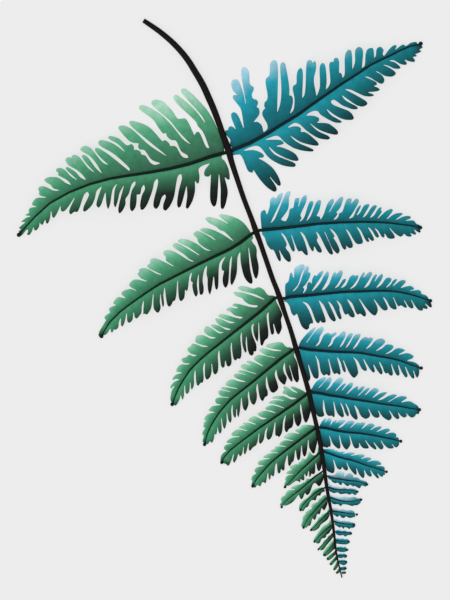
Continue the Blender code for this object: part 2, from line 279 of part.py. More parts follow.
        """276.3,301 276.8,303.4 278.2,306 279.7,309.2 281,312.4 282.1,315.5 281.3,319.7 281.8,323.4 282.1,327.6
        281,331.3 278.7,334.7 277.1,333.9 275.8,330.8 274.7,328.2 273.9,325.5 c273.4,323.7 273.3,327.1
        274,330.3 274.3,332.9 272.9,334.9 271.3,334.5 270.4,332.4 270,329.7 269.7,326.6 268.9,322.4
        268.4,318.7 268.2,315 c268.4,312.4 267.1,315 267.1,319.7 267.6,325 268.4,330.3 268.7,333.4
        267.9,338.2 266.8,339.7 265.3,340.3 264.2,342.9 262.4,345.8 260.8,345.3 260.2,342.4 259.7,339.7
        259.1,335.5 258.9,330.3 258.9,326 c258.7,322.4 258.2,325.5 258.2,330.3 258.3,335.5 258.3,339.7
        257.6,341.9 256.3,340.8 255,338.2 253.7,334.5 252.9,330.3 252.8,327.1 c253.7,323.9 252.1,325.5
        251.7,329.2 252.2,332.4 253.3,336.6 255,340.8 256.6,345 256.8,348.7 256.1,351.3 253.9,351.8
        253.9,353.9 251.8,355.8 249.7,355 248.7,352.9 247.6,350.3 247.2,346.5 247,342.4 c246.4,336.6
        246,343.4 246.5,348.7 246.8,351.3 246.1,352.9 244.7,352.1 243.4,348.7 242.1,344.5 241.8,340.8
        241.8,336.6 c241.5,332.6 240.7,337.1 240.9,342.4 241.3,346 241.8,351 241.3,356.7 240.1,359
        237.6,358.8 235.9,360.7 233.8,359.6 232.6,355.8 232,351.7 231.8,347.5 c231.5,342.5 230.9,347.5
        231.1,352.5 231.8,357.5 231.8,362.5 230.5,365.8 228.4,366.7 226.8,365.8 225.6,362.9 c225.3,360.8
        224.8,364.2 224.7,366.7 223,367.9 221.3,366.7 220.3,362.5 219.7,358.3 219.3,354.2 c219,350.4
        218.2,355 218.4,361.7 218.6,367.5 217.6,372.5 215.5,374.6 213.4,373.3 212.6,369.2 212.2,366.7
        c211.7,363.8 211.3,368.2 211.7,372.7 210.5,375 209.5,378.2 206.8,379.8 205,377.3 204.5,370.9
        204.4,366.4 c204.7,362.7 203.4,367.3 203.5,373.6 203.9,379.1 202.7,382.7 200.5,383.2 199.1,385.5
        197.7,385.9 196.4,384.1 195.5,378.2 195.1,372.7 c195.2,370 194.3,375.5 194.5,380 194.1,385.5
        191.8,389.8 190.9,388.6 190.7,384.5 c190.3,382.3 190,387.3 189.1,392.3 186.8,394.2 185.5,392.7
        185,389.1 c184.7,385.5 184.1,390.9 183.9,397.3 182.5,400 181.2,398.2 c180.6,395.5 180,399.1
        178.2,402.7 175.5,405.9""",
    ),
    "pinna_right_03": (
        1.6,
        """282,298.5 285,298.3 290,296.9 300,296.1 310,295.3 320,294.2 330,293.3 340,292.3 350,291.7 360,291.6
        370,291.1 380,290.9 390,291.1 400,292.3 410,294.4 420,297.3 427.6,299.9 431.5,301.2""",
        """285,296 285,288 285.3,284 286.3,282.8 c288,281.5 288.8,277 290,273.3 291.5,272 293,275 c293.7,277.8
        294,273 294.5,268.5 297,266 300,265.5 302.8,264.2 305,266 304.5,269 302,273 300,279 298,285
        c292.7,291.3 296,288.7 299,284 301.7,277.7 303.8,271.5 305.5,267.5 307.5,265.8 309,268 308.5,272
        310.5,273 310,277 307.5,281 305.5,285 303.2,287 304.5,289.5 c303.1,293 306,289.5 307,284 308.5,282
        310.5,282 c311.5,283.5 312,279 314.5,275 316.5,275.7 319,272.5 322.5,270.6 323.7,271.5 321.3,276
        317.5,282 c312,291 316.3,287.2 320.7,281.3 324.5,274.2 328,271 329,274 327.8,279.4 325,284.4
        324,287.3 c322,290.1 325,288.5 328.3,284.4 330.6,279.4 333,273.5 335,271.7 c336.5,273.5 341,270
        342.8,272.5 342,276 339,281.5 338,284 c335,287.9 338,286 341.3,281.8 343,279.3 345.5,278.5
        346,280.5 344.3,283.3 c341,287.9 345,285.5 347.7,281 350,276.5 353,274.7 c355,275.5 357.8,275
        358.5,277 356,281.5 353.8,285 c350.1,288.8 355,285.7 358.2,279.8 361,275 363.5,272 365,273.5
        c363.3,277.5 365.5,275.8 368,272.5 370.5,271.5 372.3,273.5 371,277 368.5,281 367.3,283 c364.2,287.8
        368,285.3 370.7,281 373.2,276 376,273.8 377,275.5 c374.5,281.4 377,277.8 379.5,275 382,273.7
        383,275.5 381.5,280 379.5,283.5 c376.3,287.7 380.5,284.8 383.5,280.7 386,278 388.5,277.3 391.5,278.7
        391,281.5 388.8,284.5 c386,287.5 390,284.5 393,280.2 396,278.7 397.3,279.5 395.8,282 c392.7,286
        396,283.8 399,281.2 401,280 404.5,280 406,281.5 404,284 c401,287.7 405,286.7 408,285.8 411,285.8
        414.3,288.5 413,290 c409.8,290.7 413,290.6 416.5,289.8 419.5,290 421.5,292.5 c421.3,293.5 424,294.3
        426.5,295.5 428.5,298""",
        """284.5,301 287,303 289,306 290.3,310 291.5,313.5 294,316 295.5,315 c296.8,314 298,317 299.5,322 302,327
        306.5,330 309,328.5 309.7,325 c310.7,323.7 312.7,323.8 313.3,322 311.5,317.5 309.5,313 308.5,309
        306,305 c302.8,301.9 307,303.7 310,307.5 312,312.5 314.5,318 316,322 318,323.5 319.8,322.5
        c320.3,320.7 321.5,322.5 324,323 325.8,322 325.8,319.5 324,315.5 322.7,311 321.5,306.5 c319,300.7
        323,305 325,309.5 327.5,314.5 330.5,319.5 334.5,321.8 336,320 335.3,317 333.3,312 330.8,306.5
        c328.3,301.7 331.7,305 334.3,310 336.7,315.5 338.5,318.5 340.5,319.7 341.7,318 341,314 339.7,310
        339.7,307 c336.8,300.7 340.3,304.5 342.3,309 343.7,313 345.5,315 347,314.5 c347.7,314 349.5,316.3
        353,317.8 354.8,316.5 354.8,314.5 352.5,310 350.2,305 c347.2,299.5 351.7,303.5 354.2,309 355.7,313
        357.5,314.8 359,314.3 c360,314 361.5,315.5 364,316.8 365.8,316 366,313 364.3,309.5 361.2,304
        c359,299 362.7,303 365.2,307.5 369,312 372.5,315 375,315.8 376.7,314 377.8,311 377.4,307 375.4,303
        c373.8,299.4 377.5,303.5 380,307.5 382.5,310 385.5,310.8 387.7,309.5 387.8,307.5 386.2,304
        384.7,300.5 c383.1,297.2 386,300.5 388,304.5 390,307.5 394.5,309.8 396.7,309 396.7,307 395,303
        c393.1,297.2 395.5,301.5 396.9,305 398.5,306.7 c400.8,305.7 402.5,307 405,308 407,307.5 406.3,304.5
        c404,300 406.5,303.5 408.5,307 411.5,308.8 413.5,308 413.5,305.5 c411,299.8 413,303.5 415.5,307
        419,310.5 421.5,311 423,310.5 c423,308.5 424.5,309 427,309.2 428,308 426.5,306 c425,303.7 428,306.5
        430.5,307.7 432,307 431.7,304""",
    ),
    "pinna_left_04": (
        1.5,
        """296,347 291,351.2 280,359.3 270,367.5 260,375.8 250,384 240,391.8 230,400 220,411.5 214.5,419.5
        210,427.5 207,435 204.3,445.5""",
        """291,347.2 287.5,347 285,345.5 283,343 280.5,342 277,342 273,343 267,344.5 265.5,346.5 268.5,348.1
        273,349.3 c281.4,350.7 274,350.6 268,349.2 264.5,348.3 261.3,348.3 259,350.3 261.5,353 264.7,355
        269,356 c275,357.7 269,356.9 263.5,355.7 257.5,354.8 254.5,357 253.5,359 257,361.5 260,363.6
        c263,366 257.5,363.9 252.5,361.5 248,360.5 246,362 248.5,364 c250.5,365 247,364.2 243.5,363.8
        240.5,366 241,368 245,370 250,371.7 c256,373.9 250,372.8 245,371.1 241,370 237.5,371.3 240,373
        c245.5,374.5 240,374 236,373.3 233.3,375.5 235.5,378 239,379.7 c245.5,381.7 238.5,380.9 233,379.2
        229,379.8 226,382.5 225.3,385 230,386.8 c237.5,388.6 231,388.3 225.5,387.1 222,387 220.5,388.5
        224,389.8 c230,391.6 224,390.9 219.5,390 218,392 219.5,394.5 220.5,396 c228.4,397.4 222,397.4
        218,397.3 215.3,399 215,401.5 216.5,403.7 c220.5,404.6 217,405.1 212,406.2 209.5,408.5 208.5,410.5
        211,411.7 c214.6,412.3 210.5,412.9 207,414.5 204.5,417.5 204,420 c206.2,420.5 204,422.5 203.3,425
        203.3,427.5 c205,427.6 202.7,431.5 202,434.5 c203.3,435.2 202.8,438.5 202.5,442""",
        """294,352 294,355.5 295.5,358.5 297,363 298,368.5 299,374 299.2,380 297.2,382.8 295,381.3 293,377.5
        291.3,372.5 290,368 c289.4,365.2 290.3,371.5 292,377 292.8,380.5 292,382 290,380.5 287.5,376.5
        285.5,371.5 284.7,367 c284.5,363 283.3,368 284.5,373 287,377.5 286.5,381 284.5,385 282,383.5
        279,380.5 277,375.5 276.2,372 c276.2,370 275,374 276,378.5 277.7,383 278.5,387 277.5,390 275.5,391
        273.5,393 270.5,391.5 268.3,386.5 266.8,381 c266.4,376.7 266,382 266.6,387.5 268,391.5 267.5,396
        265.5,397 262.8,401.3 260.5,399.5 259,395.5 257.8,389.5 c257.3,383.8 256.5,389 257.2,395 256.5,401
        254,405 251.5,403.5 249.7,399.5 249,395 c248.6,391.3 248,396 248.8,401 248.3,406 245.5,411
        243,408.5 241.8,403 c241.3,397.7 240.5,402.5 240.5,407 240,412 238.5,417.3 237.2,415.5 237,412
        c236.6,408.8 236.2,413.5 236,417 235,418 233,415 232.5,410 c232.3,404.8 231.5,410 231.9,416
        231.8,420 230.5,423 228.5,421 227.3,417 c226.8,412.7 226.4,417.5 226.8,422.5 224.7,429 223,427
        222,422.5 c221.3,418 221,423 221.8,428.5 221.7,431.5 220.1,434 218.5,432 c217.5,427.2 217.3,431.5
        216.1,434.8 c214.8,434.2 214.7,437 213.7,440.2 212,443 210.5,442.2 c210,441.5 207.7,444.4""",
    ),
    "pinna_right_04": (
        1.5,
        """297,347.5 300,348 310,349.8 320,350.7 330,351.5 340,352 350,352.3 360,352.9 370,354.7 380,356.5
        390,358.2 400,360.6 410,364.5 415.5,366.4 422.3,368.4""",
        """299,344.3 300.7,342.5 302,340 304,336.5 308,333 311.5,329.5 314,327.4 316,327.3 315.3,329.5 312,334
        c306.4,342.7 310,338.8 313.7,333.3 316.7,329.5 319.5,327.5 322,326.5 324,329 322.5,332.5 320,337
        319.3,341 c315.7,346.2 319,343.8 321.2,339 324,334.5 328,332.7 329.8,333.3 c330.3,334.3 332.3,333.2
        335.5,332.2 337,333.5 334.5,336.3 332,338.5 331.3,341.5 c328.1,346.7 331.7,344 333.3,340 336,337
        339,335 341,332.5 344,331 345.8,333 345.5,336 343.3,340.5 c339.8,347 342.5,344.3 345.7,338.5
        348,334.5 350.5,332.8 353,333.7 351.5,337.5 348.8,342 c345.7,347.7 348.5,344.7 352.2,338.7 354.5,335
        357.5,333.8 360.5,334 360,337 356.3,343 c353,348.8 356.5,345.7 360.2,340 363,337.5 366,336.7
        c368.5,337.8 370,337 373,338.5 372.3,341 369.2,345 c366,348.8 370.5,345.7 374,341.2 377.5,339
        380.5,338.2 383.5,339 385.3,341.5 384,344 380.5,347.3 c376,350.8 382,347.8 385.5,344.7 388,344
        392.5,345 393.7,347 391.5,350 c385.5,354 391,351.7 395,348.8 398.5,347.8 402,349 405.2,350.2
        403.3,352 c398.7,354.6 403,353.5 407,352.8 411,354 413.7,356.3 412.5,358.5 c407.4,360.5 411,361.2
        415.5,362.4 418.5,364.8 419.5,366""",
        """300.2,352 301.5,356 302.7,361 304.5,366 306,371.5 307.3,377 308.7,380.7 310.5,379 310,375 308.9,370
        c308.4,364.9 309.8,369.5 311.7,374 314,378 317,379 318.8,377 318.5,371.5 317.3,364 316.7,359
        c315.4,355.7 318.3,361 319.4,367 320.8,372.5 324,375.8 325.4,374.9 c326.3,374.5 329,376 330.6,374.3
        330.1,369.5 328.9,364 c328.3,358.8 330.2,364.5 331.5,369.5 333,373 334.8,374.3 c336.4,373.3
        339.5,375 340.7,373.5 340,369 339,363.5 c337.2,357.4 340,362 341,366.5 342.7,370.7 345,372.7
        346,371 345.2,367 c343.1,360.1 345.7,364.5 347.2,369 350,374.5 354,378 356,376.5 358,374 358,369.5
        356.3,364 354.7,359.5 c353.1,357.4 357.2,361 359.7,365.5 362,369.5 365.4,371.2 367,370 366.3,367
        364.5,363 c363.1,358.8 366.7,363.5 368.7,367.5 371,371 373.4,372.8 375,371.5 374.3,368.5
        c373.4,364.7 375.7,368 378,372 381,374.7 382.7,373 381.8,369.5 380.3,365.5 c379,361.7 382.2,367
        383.7,371.5 386,373.8 c387.6,372.9 389.5,375.3 391.5,376 393,374.5 392.5,370.5 c391.1,363.9
        393.3,368 394.7,372.5 397.1,375.8 399.5,375 399.5,371.5 c398.1,364.7 400.5,369 402.2,373.4
        405.8,377.7 407.7,376.5 407.1,373 c405.1,366.6 408.5,372.5 410,376 413.1,379 414.5,378 414.5,375
        c413.1,370.5 415.3,374.5 417,378 418.7,376 419.5,372.5""",
    ),
    "pinna_left_05": (
        1.4,
        """308,391.5 305,395.7 300,399.3 295,403.3 290,406.7 285,410 280,413.7 275,417 270,420.6 265,424
        260,427.3 255,431 250,434.8 245,438.6 240,442.3 235,446.3 230,450.3 226.3,454.7 223,458.7 221.5,463.5""",
        """304.5,391.5 302,390 299.5,389 296,387.3 293,386.3 290.5,386.5 291.3,388.5 294,390.5 c297.4,392.6
        292.5,390.8 288.5,387.6 284.8,386 282.7,387.5 284,390 282.5,391.5 282.3,393.5 286,394.7 289,396.8
        c296,398.4 291.5,399 288,397.7 283.5,395.8 278,396 273.5,396.5 271.5,398 275,398.7 c284,400.3
        277,399.8 273.5,400 269.5,401.5 268.3,403.1 271.5,403.8 276,404.8 c284,407.9 277.5,406.4 272.5,404.9
        268.5,405.7 264.8,408 266,410 270,410.6 c275.4,412.7 270.5,411.8 265,410.5 260.5,411.5 257,413.6
        258.5,415.7 262,417.5 c266.4,418.4 262,419 258,417.2 254,415.8 250,418.4 248,420.3 250.5,422
        c256,424.3 251,423.6 246.5,422.3 243,423 243,424.5 c245.5,425 242,425.2 238.4,427.3 240.5,428
        243.5,428.7 c247.4,430.7 243,430.1 238,429.1 234.5,430.7 231,434 232,435.8 c239.6,436.5 233.5,437.2
        229.5,438.7 226.3,441.6 226.8,443 c231.5,443.5 227.5,444.1 224.8,445.5 223.6,448 224.8,450
        c226.3,450.8 224,452 221,455.4 220.4,459 220.5,462""",
        """307,396.2 308.5,399.5 309.5,405 310.2,411 309.7,416 308.3,420 306,423 304,421 303.5,416.5 302,411
        300.9,406 c300.5,403.8 300.3,409 301.5,414 301.8,418 301,423 298,426.8 295.7,424.5 294.5,421
        293.8,418 c293.5,413.6 293,418.5 293.5,423.5 292,427.5 289,429.3 287.5,432 286,432.3 284.5,430
        284.2,425 284.6,420 c285.5,415.2 283.5,421 282.9,427.6 282,433 278.9,437.2 277.3,436 275.5,435.8
        275,432 275,427 c275.1,422.2 273.5,427.5 273,433 271.5,437.5 268.3,440 266.5,438 266.1,433.5
        266.4,430.5 c267.3,427.3 265.5,431 265.3,434 264.1,436.6 263.5,440.5 260.2,444 258.8,442.5
        258.6,438 c259.1,433.2 258,437 257.5,442.5 256,445.5 253,447.5 250,451 248.6,449.7 248.3,446.5
        c248.6,443 247.8,447 246.8,451 245,454.8 243.6,452.5 243.4,449.5 c243.5,447 242.8,450.2 242.3,454
        240,456.7 238.9,455 c238.5,454 237.8,457 236.2,460.5 234.1,463 232.8,461 232.9,457 c233.6,454
        231.8,458 230.5,463 228.3,466 226.7,465 c226,464.5""",
    ),
    "pinna_right_05": (
        1.4,
        """308.5,391 310,392.1 320,393.3 330,395.4 340,396.8 350,398.8 360,400.2 370,401.8 380,403.5 390,405
        400,406.3 410,408.3 416.7,409.3 420.6,409.8""",
        """310.7,390 312.5,387.5 314,384 316.1,381.5 319,380.3 323.9,377 326.3,378 325,380 322,383.3 c318.6,388
        322,385.2 325.5,381.2 329.3,377.2 331.7,378 331.5,381 329.5,385 328.3,387.5 c326.1,390 330.5,386.3
        333.5,382.2 336.5,380 340.2,377.3 343.5,379.3 342.3,382.5 338.8,387 c335.5,390.9 338.5,388.8
        341.6,385 344.5,383 346,383.7 344.8,386 c341.6,390.5 345,387.3 348.5,383.6 351.2,382 353,383.3
        352.7,386 349.8,390 c346.6,394 351.5,390.2 354.5,387.2 357,385.9 358.7,386.7 c357.7,389.7 359.7,388
        362.4,386 365,386.5 363.5,389.5 360.9,392.5 c357.8,395.8 361.7,392.7 364.6,389.7 367.5,387.6
        370,388 368.3,391 c364.9,395 368,392.7 371.5,389.6 374.4,387.7 378,389 379,390.3 376.3,393
        c372.5,397.6 376.5,394.9 380.5,392.8 384.5,391.8 387.3,392.5 385,395 381.4,397.8 c378.1,399.9
        382.2,398.9 385.5,397.1 389.5,395 394.1,394 397,395 395,397.5 391.3,400 c388,401.8 394,399.2
        398,396.6 402,395.8 406.5,396.7 407,398 405,400 c401.3,402 405,401.1 409.5,401 413.5,402.8 416,405
        418.5,406.5""",
        """312,395.5 313,401 314.3,407 315.5,413.5 319,417 321.5,416.3 324,416.2 324.5,414.5 323.3,410 322.9,404
        c323.3,400 324.5,405 325.3,410.5 326.5,414.5 329.1,416.2 c331.5,415.9 333.9,417.7 334.8,416
        334.3,411.5 334,406.5 c333.5,401.4 335.2,406.5 336.3,411.5 338.5,415 342.3,417.6 344,416.3
        343.4,411.5 341.9,406.5 c340.4,402.6 343.1,407.5 344.6,412.5 347.7,416.7 349,415 348.2,411
        346.6,406.5 c345.5,403.3 348.5,409 350,414 352.5,417.5 356.5,420 357.8,418.3 357.4,415 355.9,410
        c354.3,405.1 357.6,409.5 359.6,414.5 362,417.3 365.4,419 369,417.5 370.3,415 369.4,411.5 c368.3,409
        370.9,412.5 373,416.5 376.4,418 379.3,417 379.6,414.5 c378.1,410.5 380.6,413.5 382.5,417 385,418.7
        388.6,420.5 391,419.3 392,417.3 390.6,413.5 c389.3,410.5 392,414 394.5,417.7 397.6,419.5 399.5,418
        399.2,415.5 c398.1,412.6 400.2,415.5 403.9,417.8 406.7,416.5 406.9,414.5 c406,413 408,415.5
        411.6,417.8 415,416.5 416.3,414.3 418.5,414.3 419.7,412""",
    ),
    "pinna_left_06": (
        1.3,
        """315.5,428.5 313.5,429.5 310,432.2 305,435.8 300,439.6 295,443.4 290,447.2 285,451 280,454.9 275,459
        270,463.4 265,469 260,474.6 256,479.8 253.5,484.8 252.2,487""",
        """313.5,425.8 309,425.7 306,424.8 303,424.8 300.5,426.3 299.7,428 297,428.5 295.3,429.3 295,431 297,432.3
        c299.3,433.5 297,433.3 294,432.6 291,432.4 288.5,433.3 286.3,434.8 284.3,436 283.2,437.2 284.2,438.4
        287,438.8 290,439.8 c292.9,440.6 290,440.7 286.3,440 283,440.4 281,441.6 279.7,443.3 278.9,444.6
        280.5,445.2 283,445.8 c286,446.5 283,446.5 279.5,446.2 276.5,446 274.8,447 274.5,448.6 272.5,449.3
        270.6,450.2 270,451.6 271.5,452 274,452.2 c277.8,452.7 274.5,452.9 270.5,452.9 267.5,454.3
        264.8,455.3 263.2,456.5 262.8,457.6 264.5,458 c269.6,458.5 266,459 262.5,459.5 260.3,460.2
        258.3,461.3 257.5,462.8 257.7,464.2 258.7,465 c263.5,465.5 260.5,466 257.8,466.8 255.8,467.8
        254.5,469.3 254.2,471 254.8,472.3 c256,473.3 254.5,474 252.8,475.3 251.5,477.3 251.2,479.8
        c252,480.7 251.5,482 251.3,485""",
        """314.8,430.8 315.5,433 316,436 316.5,439 316.8,442 316.5,445 315.7,448 315.5,451 314.5,453.3 313,453.8
        311.3,452.3 309.8,449.5 308.8,447 308.5,444 c308.3,439.8 307.9,443 307.8,447 307.2,450 306.8,453
        305.8,455.7 304.5,456.8 303.2,455.7 302.2,453 301.7,450 c301.4,445.5 301,449 300.9,453 300.6,456.5
        300,459 298.5,460.6 297,459 296.3,456 295.9,453 c295.4,450 294.6,453 294.2,456.5 294,459.5
        293.5,461.5 292.2,462.3 291.3,464 289.8,466.3 288.3,465.3 288,462 287.8,458.5 c287.3,455.2
        286.7,458 285.7,461 285,464 284.9,467 284.5,469.8 282.8,470.8 281.7,470 c281,469 280.8,471.5
        279.5,473.6 277.8,473 277,470.5 276.9,467 c276.5,463 275.4,466 274.9,469 274.8,472 274.3,475
        273.2,476.7 271.7,476 c271.2,475 271,477.5 270,479.8 268.7,479 268,476 c267.9,473 267.3,476
        267,479 266.3,481.5 265.5,483.5 264.2,483.2 c263.3,482.3 262.2,482.7 261.5,485 260.3,486.6 258.7,486
        c257.4,485 256.5,486.5 255,488""",
    ),
    "pinna_right_06": (
        1.3,
        """318,427 320,427.5 325,428 330,429 335,430.3 340,431.2 345,432 350,432.5 355,432.9 360,433.2 365,434
        370,434.7 375,435.6 380,436.6 385,437.7 390,438.7 395,439.8 400,441 401.8,441.6""",
        """320,424.5 321.5,422.3 323,420 324.5,418.2 326,418 326.8,419 c325.2,422.5 328.3,418.2 330.5,418.3
        331.8,420 c330.3,424.7 332,422.5 333.5,420.8 335.5,420 337.3,420.3 c335.9,422.8 339.5,420 342,419.8
        344.5,420 345.7,420.7 343.5,423 c338.3,427.8 341.5,426.5 344.5,424 347,421.5 349,420.5 352,420.6
        354.5,421.3 354.7,422.6 c350.3,427.7 353,426 355.5,423.8 357.3,422.3 359.3,422.2 c360.3,422.8
        361.5,422 363.5,422.2 365.5,423 364.8,424.8 c361.7,428.7 364,427.3 366.5,425 369,423.4 371.5,423.2
        374,424.2 374.8,425.7 373.5,427 c370.2,429.8 373,428.7 375.5,427 378,426.1 380.5,426 381.8,427
        380.8,428.7 c376.5,431.6 379.5,430.8 382,429.5 385,428.6 388,428.3 389.8,429.3 389.8,430.8
        388.3,431.8 c385.5,433.6 388,433 391,432.3 394,432.5 396.2,434 396.7,435.7 c395.8,437 397.5,437
        399,438.5""",
        """320.2,429 320.3,433 320.8,437 321.5,441 322.5,444.5 323.7,446.6 325.5,447.6 327.5,447.9 329,446.8
        330.5,446.8 331,445.5 330.8,442 330,438.5 c329.3,436 330.7,439 331.7,442 333,444.5 335,446.7
        337,448.2 339,449 340.5,447.5 340.4,444 339.7,440 c339.2,435.5 340.5,439 341.2,443 342.5,446
        344.5,448.5 346.5,449.8 348,448.5 348.7,446.7 350,445.8 350.7,443.5 350.2,439.5 c349.5,435.8
        350.9,439.5 352,443 353,446 354.5,448 356,448.6 357.5,447.8 359,447.5 359.2,445 c359.3,443
        360,445 361.3,446.8 363,448.2 365,448.7 367.5,448.7 369,448 368.3,446 366.5,443 c365.3,440.2
        367.5,443.5 369.7,446 371.5,447.5 373.5,449 375.5,449.7 376.7,448.5 375.8,446 c373.5,442.2
        375.5,444.5 377.5,447 379.5,449 381.7,449.7 383,448.8 383.7,446.5 382.5,443.5 c380.7,440.5
        382.5,442.5 384.3,445.3 386.3,447 388.5,448.5 390.5,449 391.8,448 393,448.5 394,447 c391.8,444.2
        395,446.7 396,447.8 397.7,446 399.3,444.7""",
    ),
    "pinna_left_07": (
        1.0,
        """320.5,452 319.3,453 315,457 310,461.7 305,466.2 300,471 295,476.3 290,481.8 287,485 284.3,487.6""",
        """319,447 318,448.3 317.4,450 316.9,452.5 315.5,454.5 313.3,455 311.6,453.8 310.3,451.8 309.1,451.3
        308.2,452.5 307.6,454.5 307,456.5 306.3,458.3 305,459 303.5,458.2 302,458.3 300.9,459.7 300.1,461.3
        298.7,462 297.9,463 c299,464.2 296,463.9 294,464.7 291.8,465.5 290,466.8 289.5,468.3 c291.8,469.5
        288.5,470.6 286.9,471.8 285.8,473.4 287,474.1 c292.9,474.4 289,474.8 286.7,476 285.3,477.7
        284.9,479.7 c285.6,481 284.4,483 284.2,485.5""",
        """320,455 320.7,458 321.3,461 321.7,464 321.3,467 320.6,469.5 319.6,471.1 318.5,471.3 317.3,470 316.7,468
        316.3,466 c315.7,463 315.7,467 315.5,470 315.2,472.3 314.4,474 313.3,474.6 c311.7,473.6 311,475.7
        310.3,476.9 309.3,477 308.9,475.5 c308.5,471 308,474 307.5,475.7 306.8,476.6 305.8,476.2 c304.4,473.9
        304.6,477 304.6,479 304,480.3 302.8,480.5 c300.5,479.2 300.7,481 300.2,482 299.4,482.2 298,481.5
        c296.5,481 294.5,482 292.5,483.7 290.3,485.4 288.8,486""",
    ),
    "pinna_right_07": (
        1.0,
        """322,450.5 323.5,451 326,452.5 330,453.7 335,455.8 340,457.3 345,458.8 350,459.8 355,461.3 360,463
        365,465 370,466.5 375,468 380,469.7 385,471.3 387.3,472.1""",
        """323.5,449.4 326,449.4 329,449 332,448.6 334.3,449 335.3,450.4 c337,450 338.3,450.8 339,451.7
        c341.5,451.4 344,451.2 345,451.7 344.6,452.8 c342.8,453.7 346.5,453.2 349,452.3 351.5,452
        353.8,452.7 355.5,453.5 353.7,454.5 c350.8,455.5 354,455.3 357,454.6 360,454 363,454.2 364.8,455.3
        364,456.8 c361,458.6 364,457.9 367,457 369.5,457.2 371.5,458.5 371,459.8 c367.3,461.5 370.5,460.9
        373.5,460.3 376.5,460.3 379.3,461.2 380.5,463 381.6,464.4 380,465 c376.3,465.6 379.5,466
        382.5,466 384.5,467 385,468.8""",
        """324,454 324.2,458 324.5,462 325.3,466 326.5,469.3 327.8,471.3 329.8,471.9 331.5,472.7 333,473.4
        334.3,472 334.9,469 334.4,465 c333.4,459.7 334.7,463 335.7,466 337,468.3 339,469.7 340.8,469.6
        342,468.4 c342.4,467 343,468.7 344.5,470 346.3,470.7 347.8,470 348.2,468 347.5,465.5 c346.6,462.5
        348.3,466 349.8,469 351.8,471.3 353.8,473.5 355.5,475 356.8,474.2 356.8,472 c356.3,468.3 357.7,471.5
        359,474.5 361,477 363,478.4 364.4,477 364.8,474 c364.1,470 365.5,472.5 367,475 369,476.5 371,476.8
        372,475.5 371.5,472.8 c370.4,470.3 372,473 374,475.3 376,477.5 378,478.7 379.3,477.5 378.8,475.7
        c377.4,473.5 379.3,475.5 381.2,477 382.8,477 383.3,475.5 385,475""",
    ),
    "pinna_left_08": (
        0.9,
        """323.5,471 321.7,472 320,473 315,476.5 310,480.9 305,485.2 300,489.7 295,493.7 290,497.3 285,502.3
        282.5,505.5 281.2,507.8""",
        """320.5,472.4 319,472.9 317.5,473.6 315,474.9 313,476.2 311.5,477.6 309.5,478.5 307.5,478.2 306,479
        305.3,480.5 304.6,481.8 302.9,482.2 301.5,483.4 299,484 296,484.8 293.5,485.6 291.8,487 290.3,488.4
        c294.8,489.5 291,489.8 288.3,490 286.8,491.3 285.5,493 285,494.8 283.5,495.7 281.7,496.8 280.7,498.3
        280.3,500 c281.5,501 280.5,502.5 279.7,505.5""",
        """322.5,474 322.8,477 323,480 322.3,482 321.3,484 320.5,485.6 319.3,486.3 317.8,486 317.2,485 316.2,483.9
        c314.3,483.2 313,484.8 312,487 311.2,489.3 310.3,491.6 309.5,493.6 308.3,494.6 307,495.3 306,494.8
        c305,493 304.3,495 303.5,497 302.5,498.8 301.3,499.4 300.2,498.6 299.3,496.8 c298.5,495 297.5,496.5
        296.3,498.3 294.5,500.5 293,502 290.5,503.5 288.5,504.3 286,505.8""",
    ),
    "pinna_right_08": (
        0.9,
        """326,476 328.3,476.5 331,477.5 335,478.5 340,479 345,480 350,480.7 355,481 360,482 364,483.3 367.8,484.7""",
        """327.8,475.2 330,474.6 333.5,474.9 335,474.2 336,472.3 338.5,471.2 341,471.5 343.3,472 345,473.4
        c343.8,476.7 346,475 348,473.3 350,472.9 351.8,473.9 353.5,475.7 c353,477 355,476.9 357,477.2 359,478
        c360,479.2 362,479.7 363.5,480.7 366,481.2 367.5,482.5""",
        """328.8,479.2 330.7,480.2 332,482 333.8,483 335.8,483.5 337.3,482.8 338.5,483.8 339.7,484.9 341,485.3
        342,484.3 c342.5,482.8 344,483.7 345.5,485.2 347,486.2 348.5,486.1 c349.7,484.7 352,485.9 353.6,486.7
        c354.5,485.9 356,486.6 357.5,487.7 359,488.4 360.7,488 361,486.4 c362.3,485.8 364.5,486.7 366.5,486.4""",
    ),
    "pinna_left_09": (
        0.85,
        """327,486.7 324.5,487.8 320.3,489.5 315,493 310,497.5 305,502.3 302.5,505.7 301,508.5 300.2,510.8""",
        """323.5,487.2 321,487.6 318.5,487.9 316,488.2 313.7,489.2 312.2,490.8 311.2,492.8 309.9,494.8 308.5,495.8
        306.5,497.2 304.5,499 302.5,500.6 300.8,502.3 299.6,504.3 299.3,506.3 298.7,509""",
        """324.5,490 324.6,491.4 323.5,492.2 321.8,492.8 321,494.3 320.3,495.6 319,496 317.5,496 316.9,497.8
        316.1,499.9 315,500.7 313.5,500.2 311.8,500.4 310.5,501.7 309.8,503.7 308.7,505.8 307.3,507.4
        305.8,507.9 304.6,509.2 303,511.5""",
    ),
    "pinna_right_09": (
        0.85,
        """327,486.9 328.5,487.3 331,488 335,489.3 340,489.8 345,489.6 350,490 354,491 358.2,491.8""",
        """328.9,482 330.5,483.6 332.5,485.4 334.5,485.9 336.5,485.7 338,486.2 340,487.2 342.3,487.3 344,486.8
        346,487.8 348,488.4 350,487.9 352.3,488.6 354.5,489.2 356.5,489.6""",
        """329.3,490 330.5,491.7 332.5,492.9 334.5,493.3 336.2,492.7 337.7,492.6 339,493.7 341,494.3 343.5,494.3
        345.5,493.8 347.5,494 349,494.9 350.5,494.7 352.3,493.8 353.8,494.8 355.5,495.2 357,494""",
    ),
    "pinna_left_10": (
        0.85,
        """328.8,496.3 326.3,498.2 322,502.5 318,507 314,511.6 310,516 307,520.5 304.5,525 303.2,528.4""",
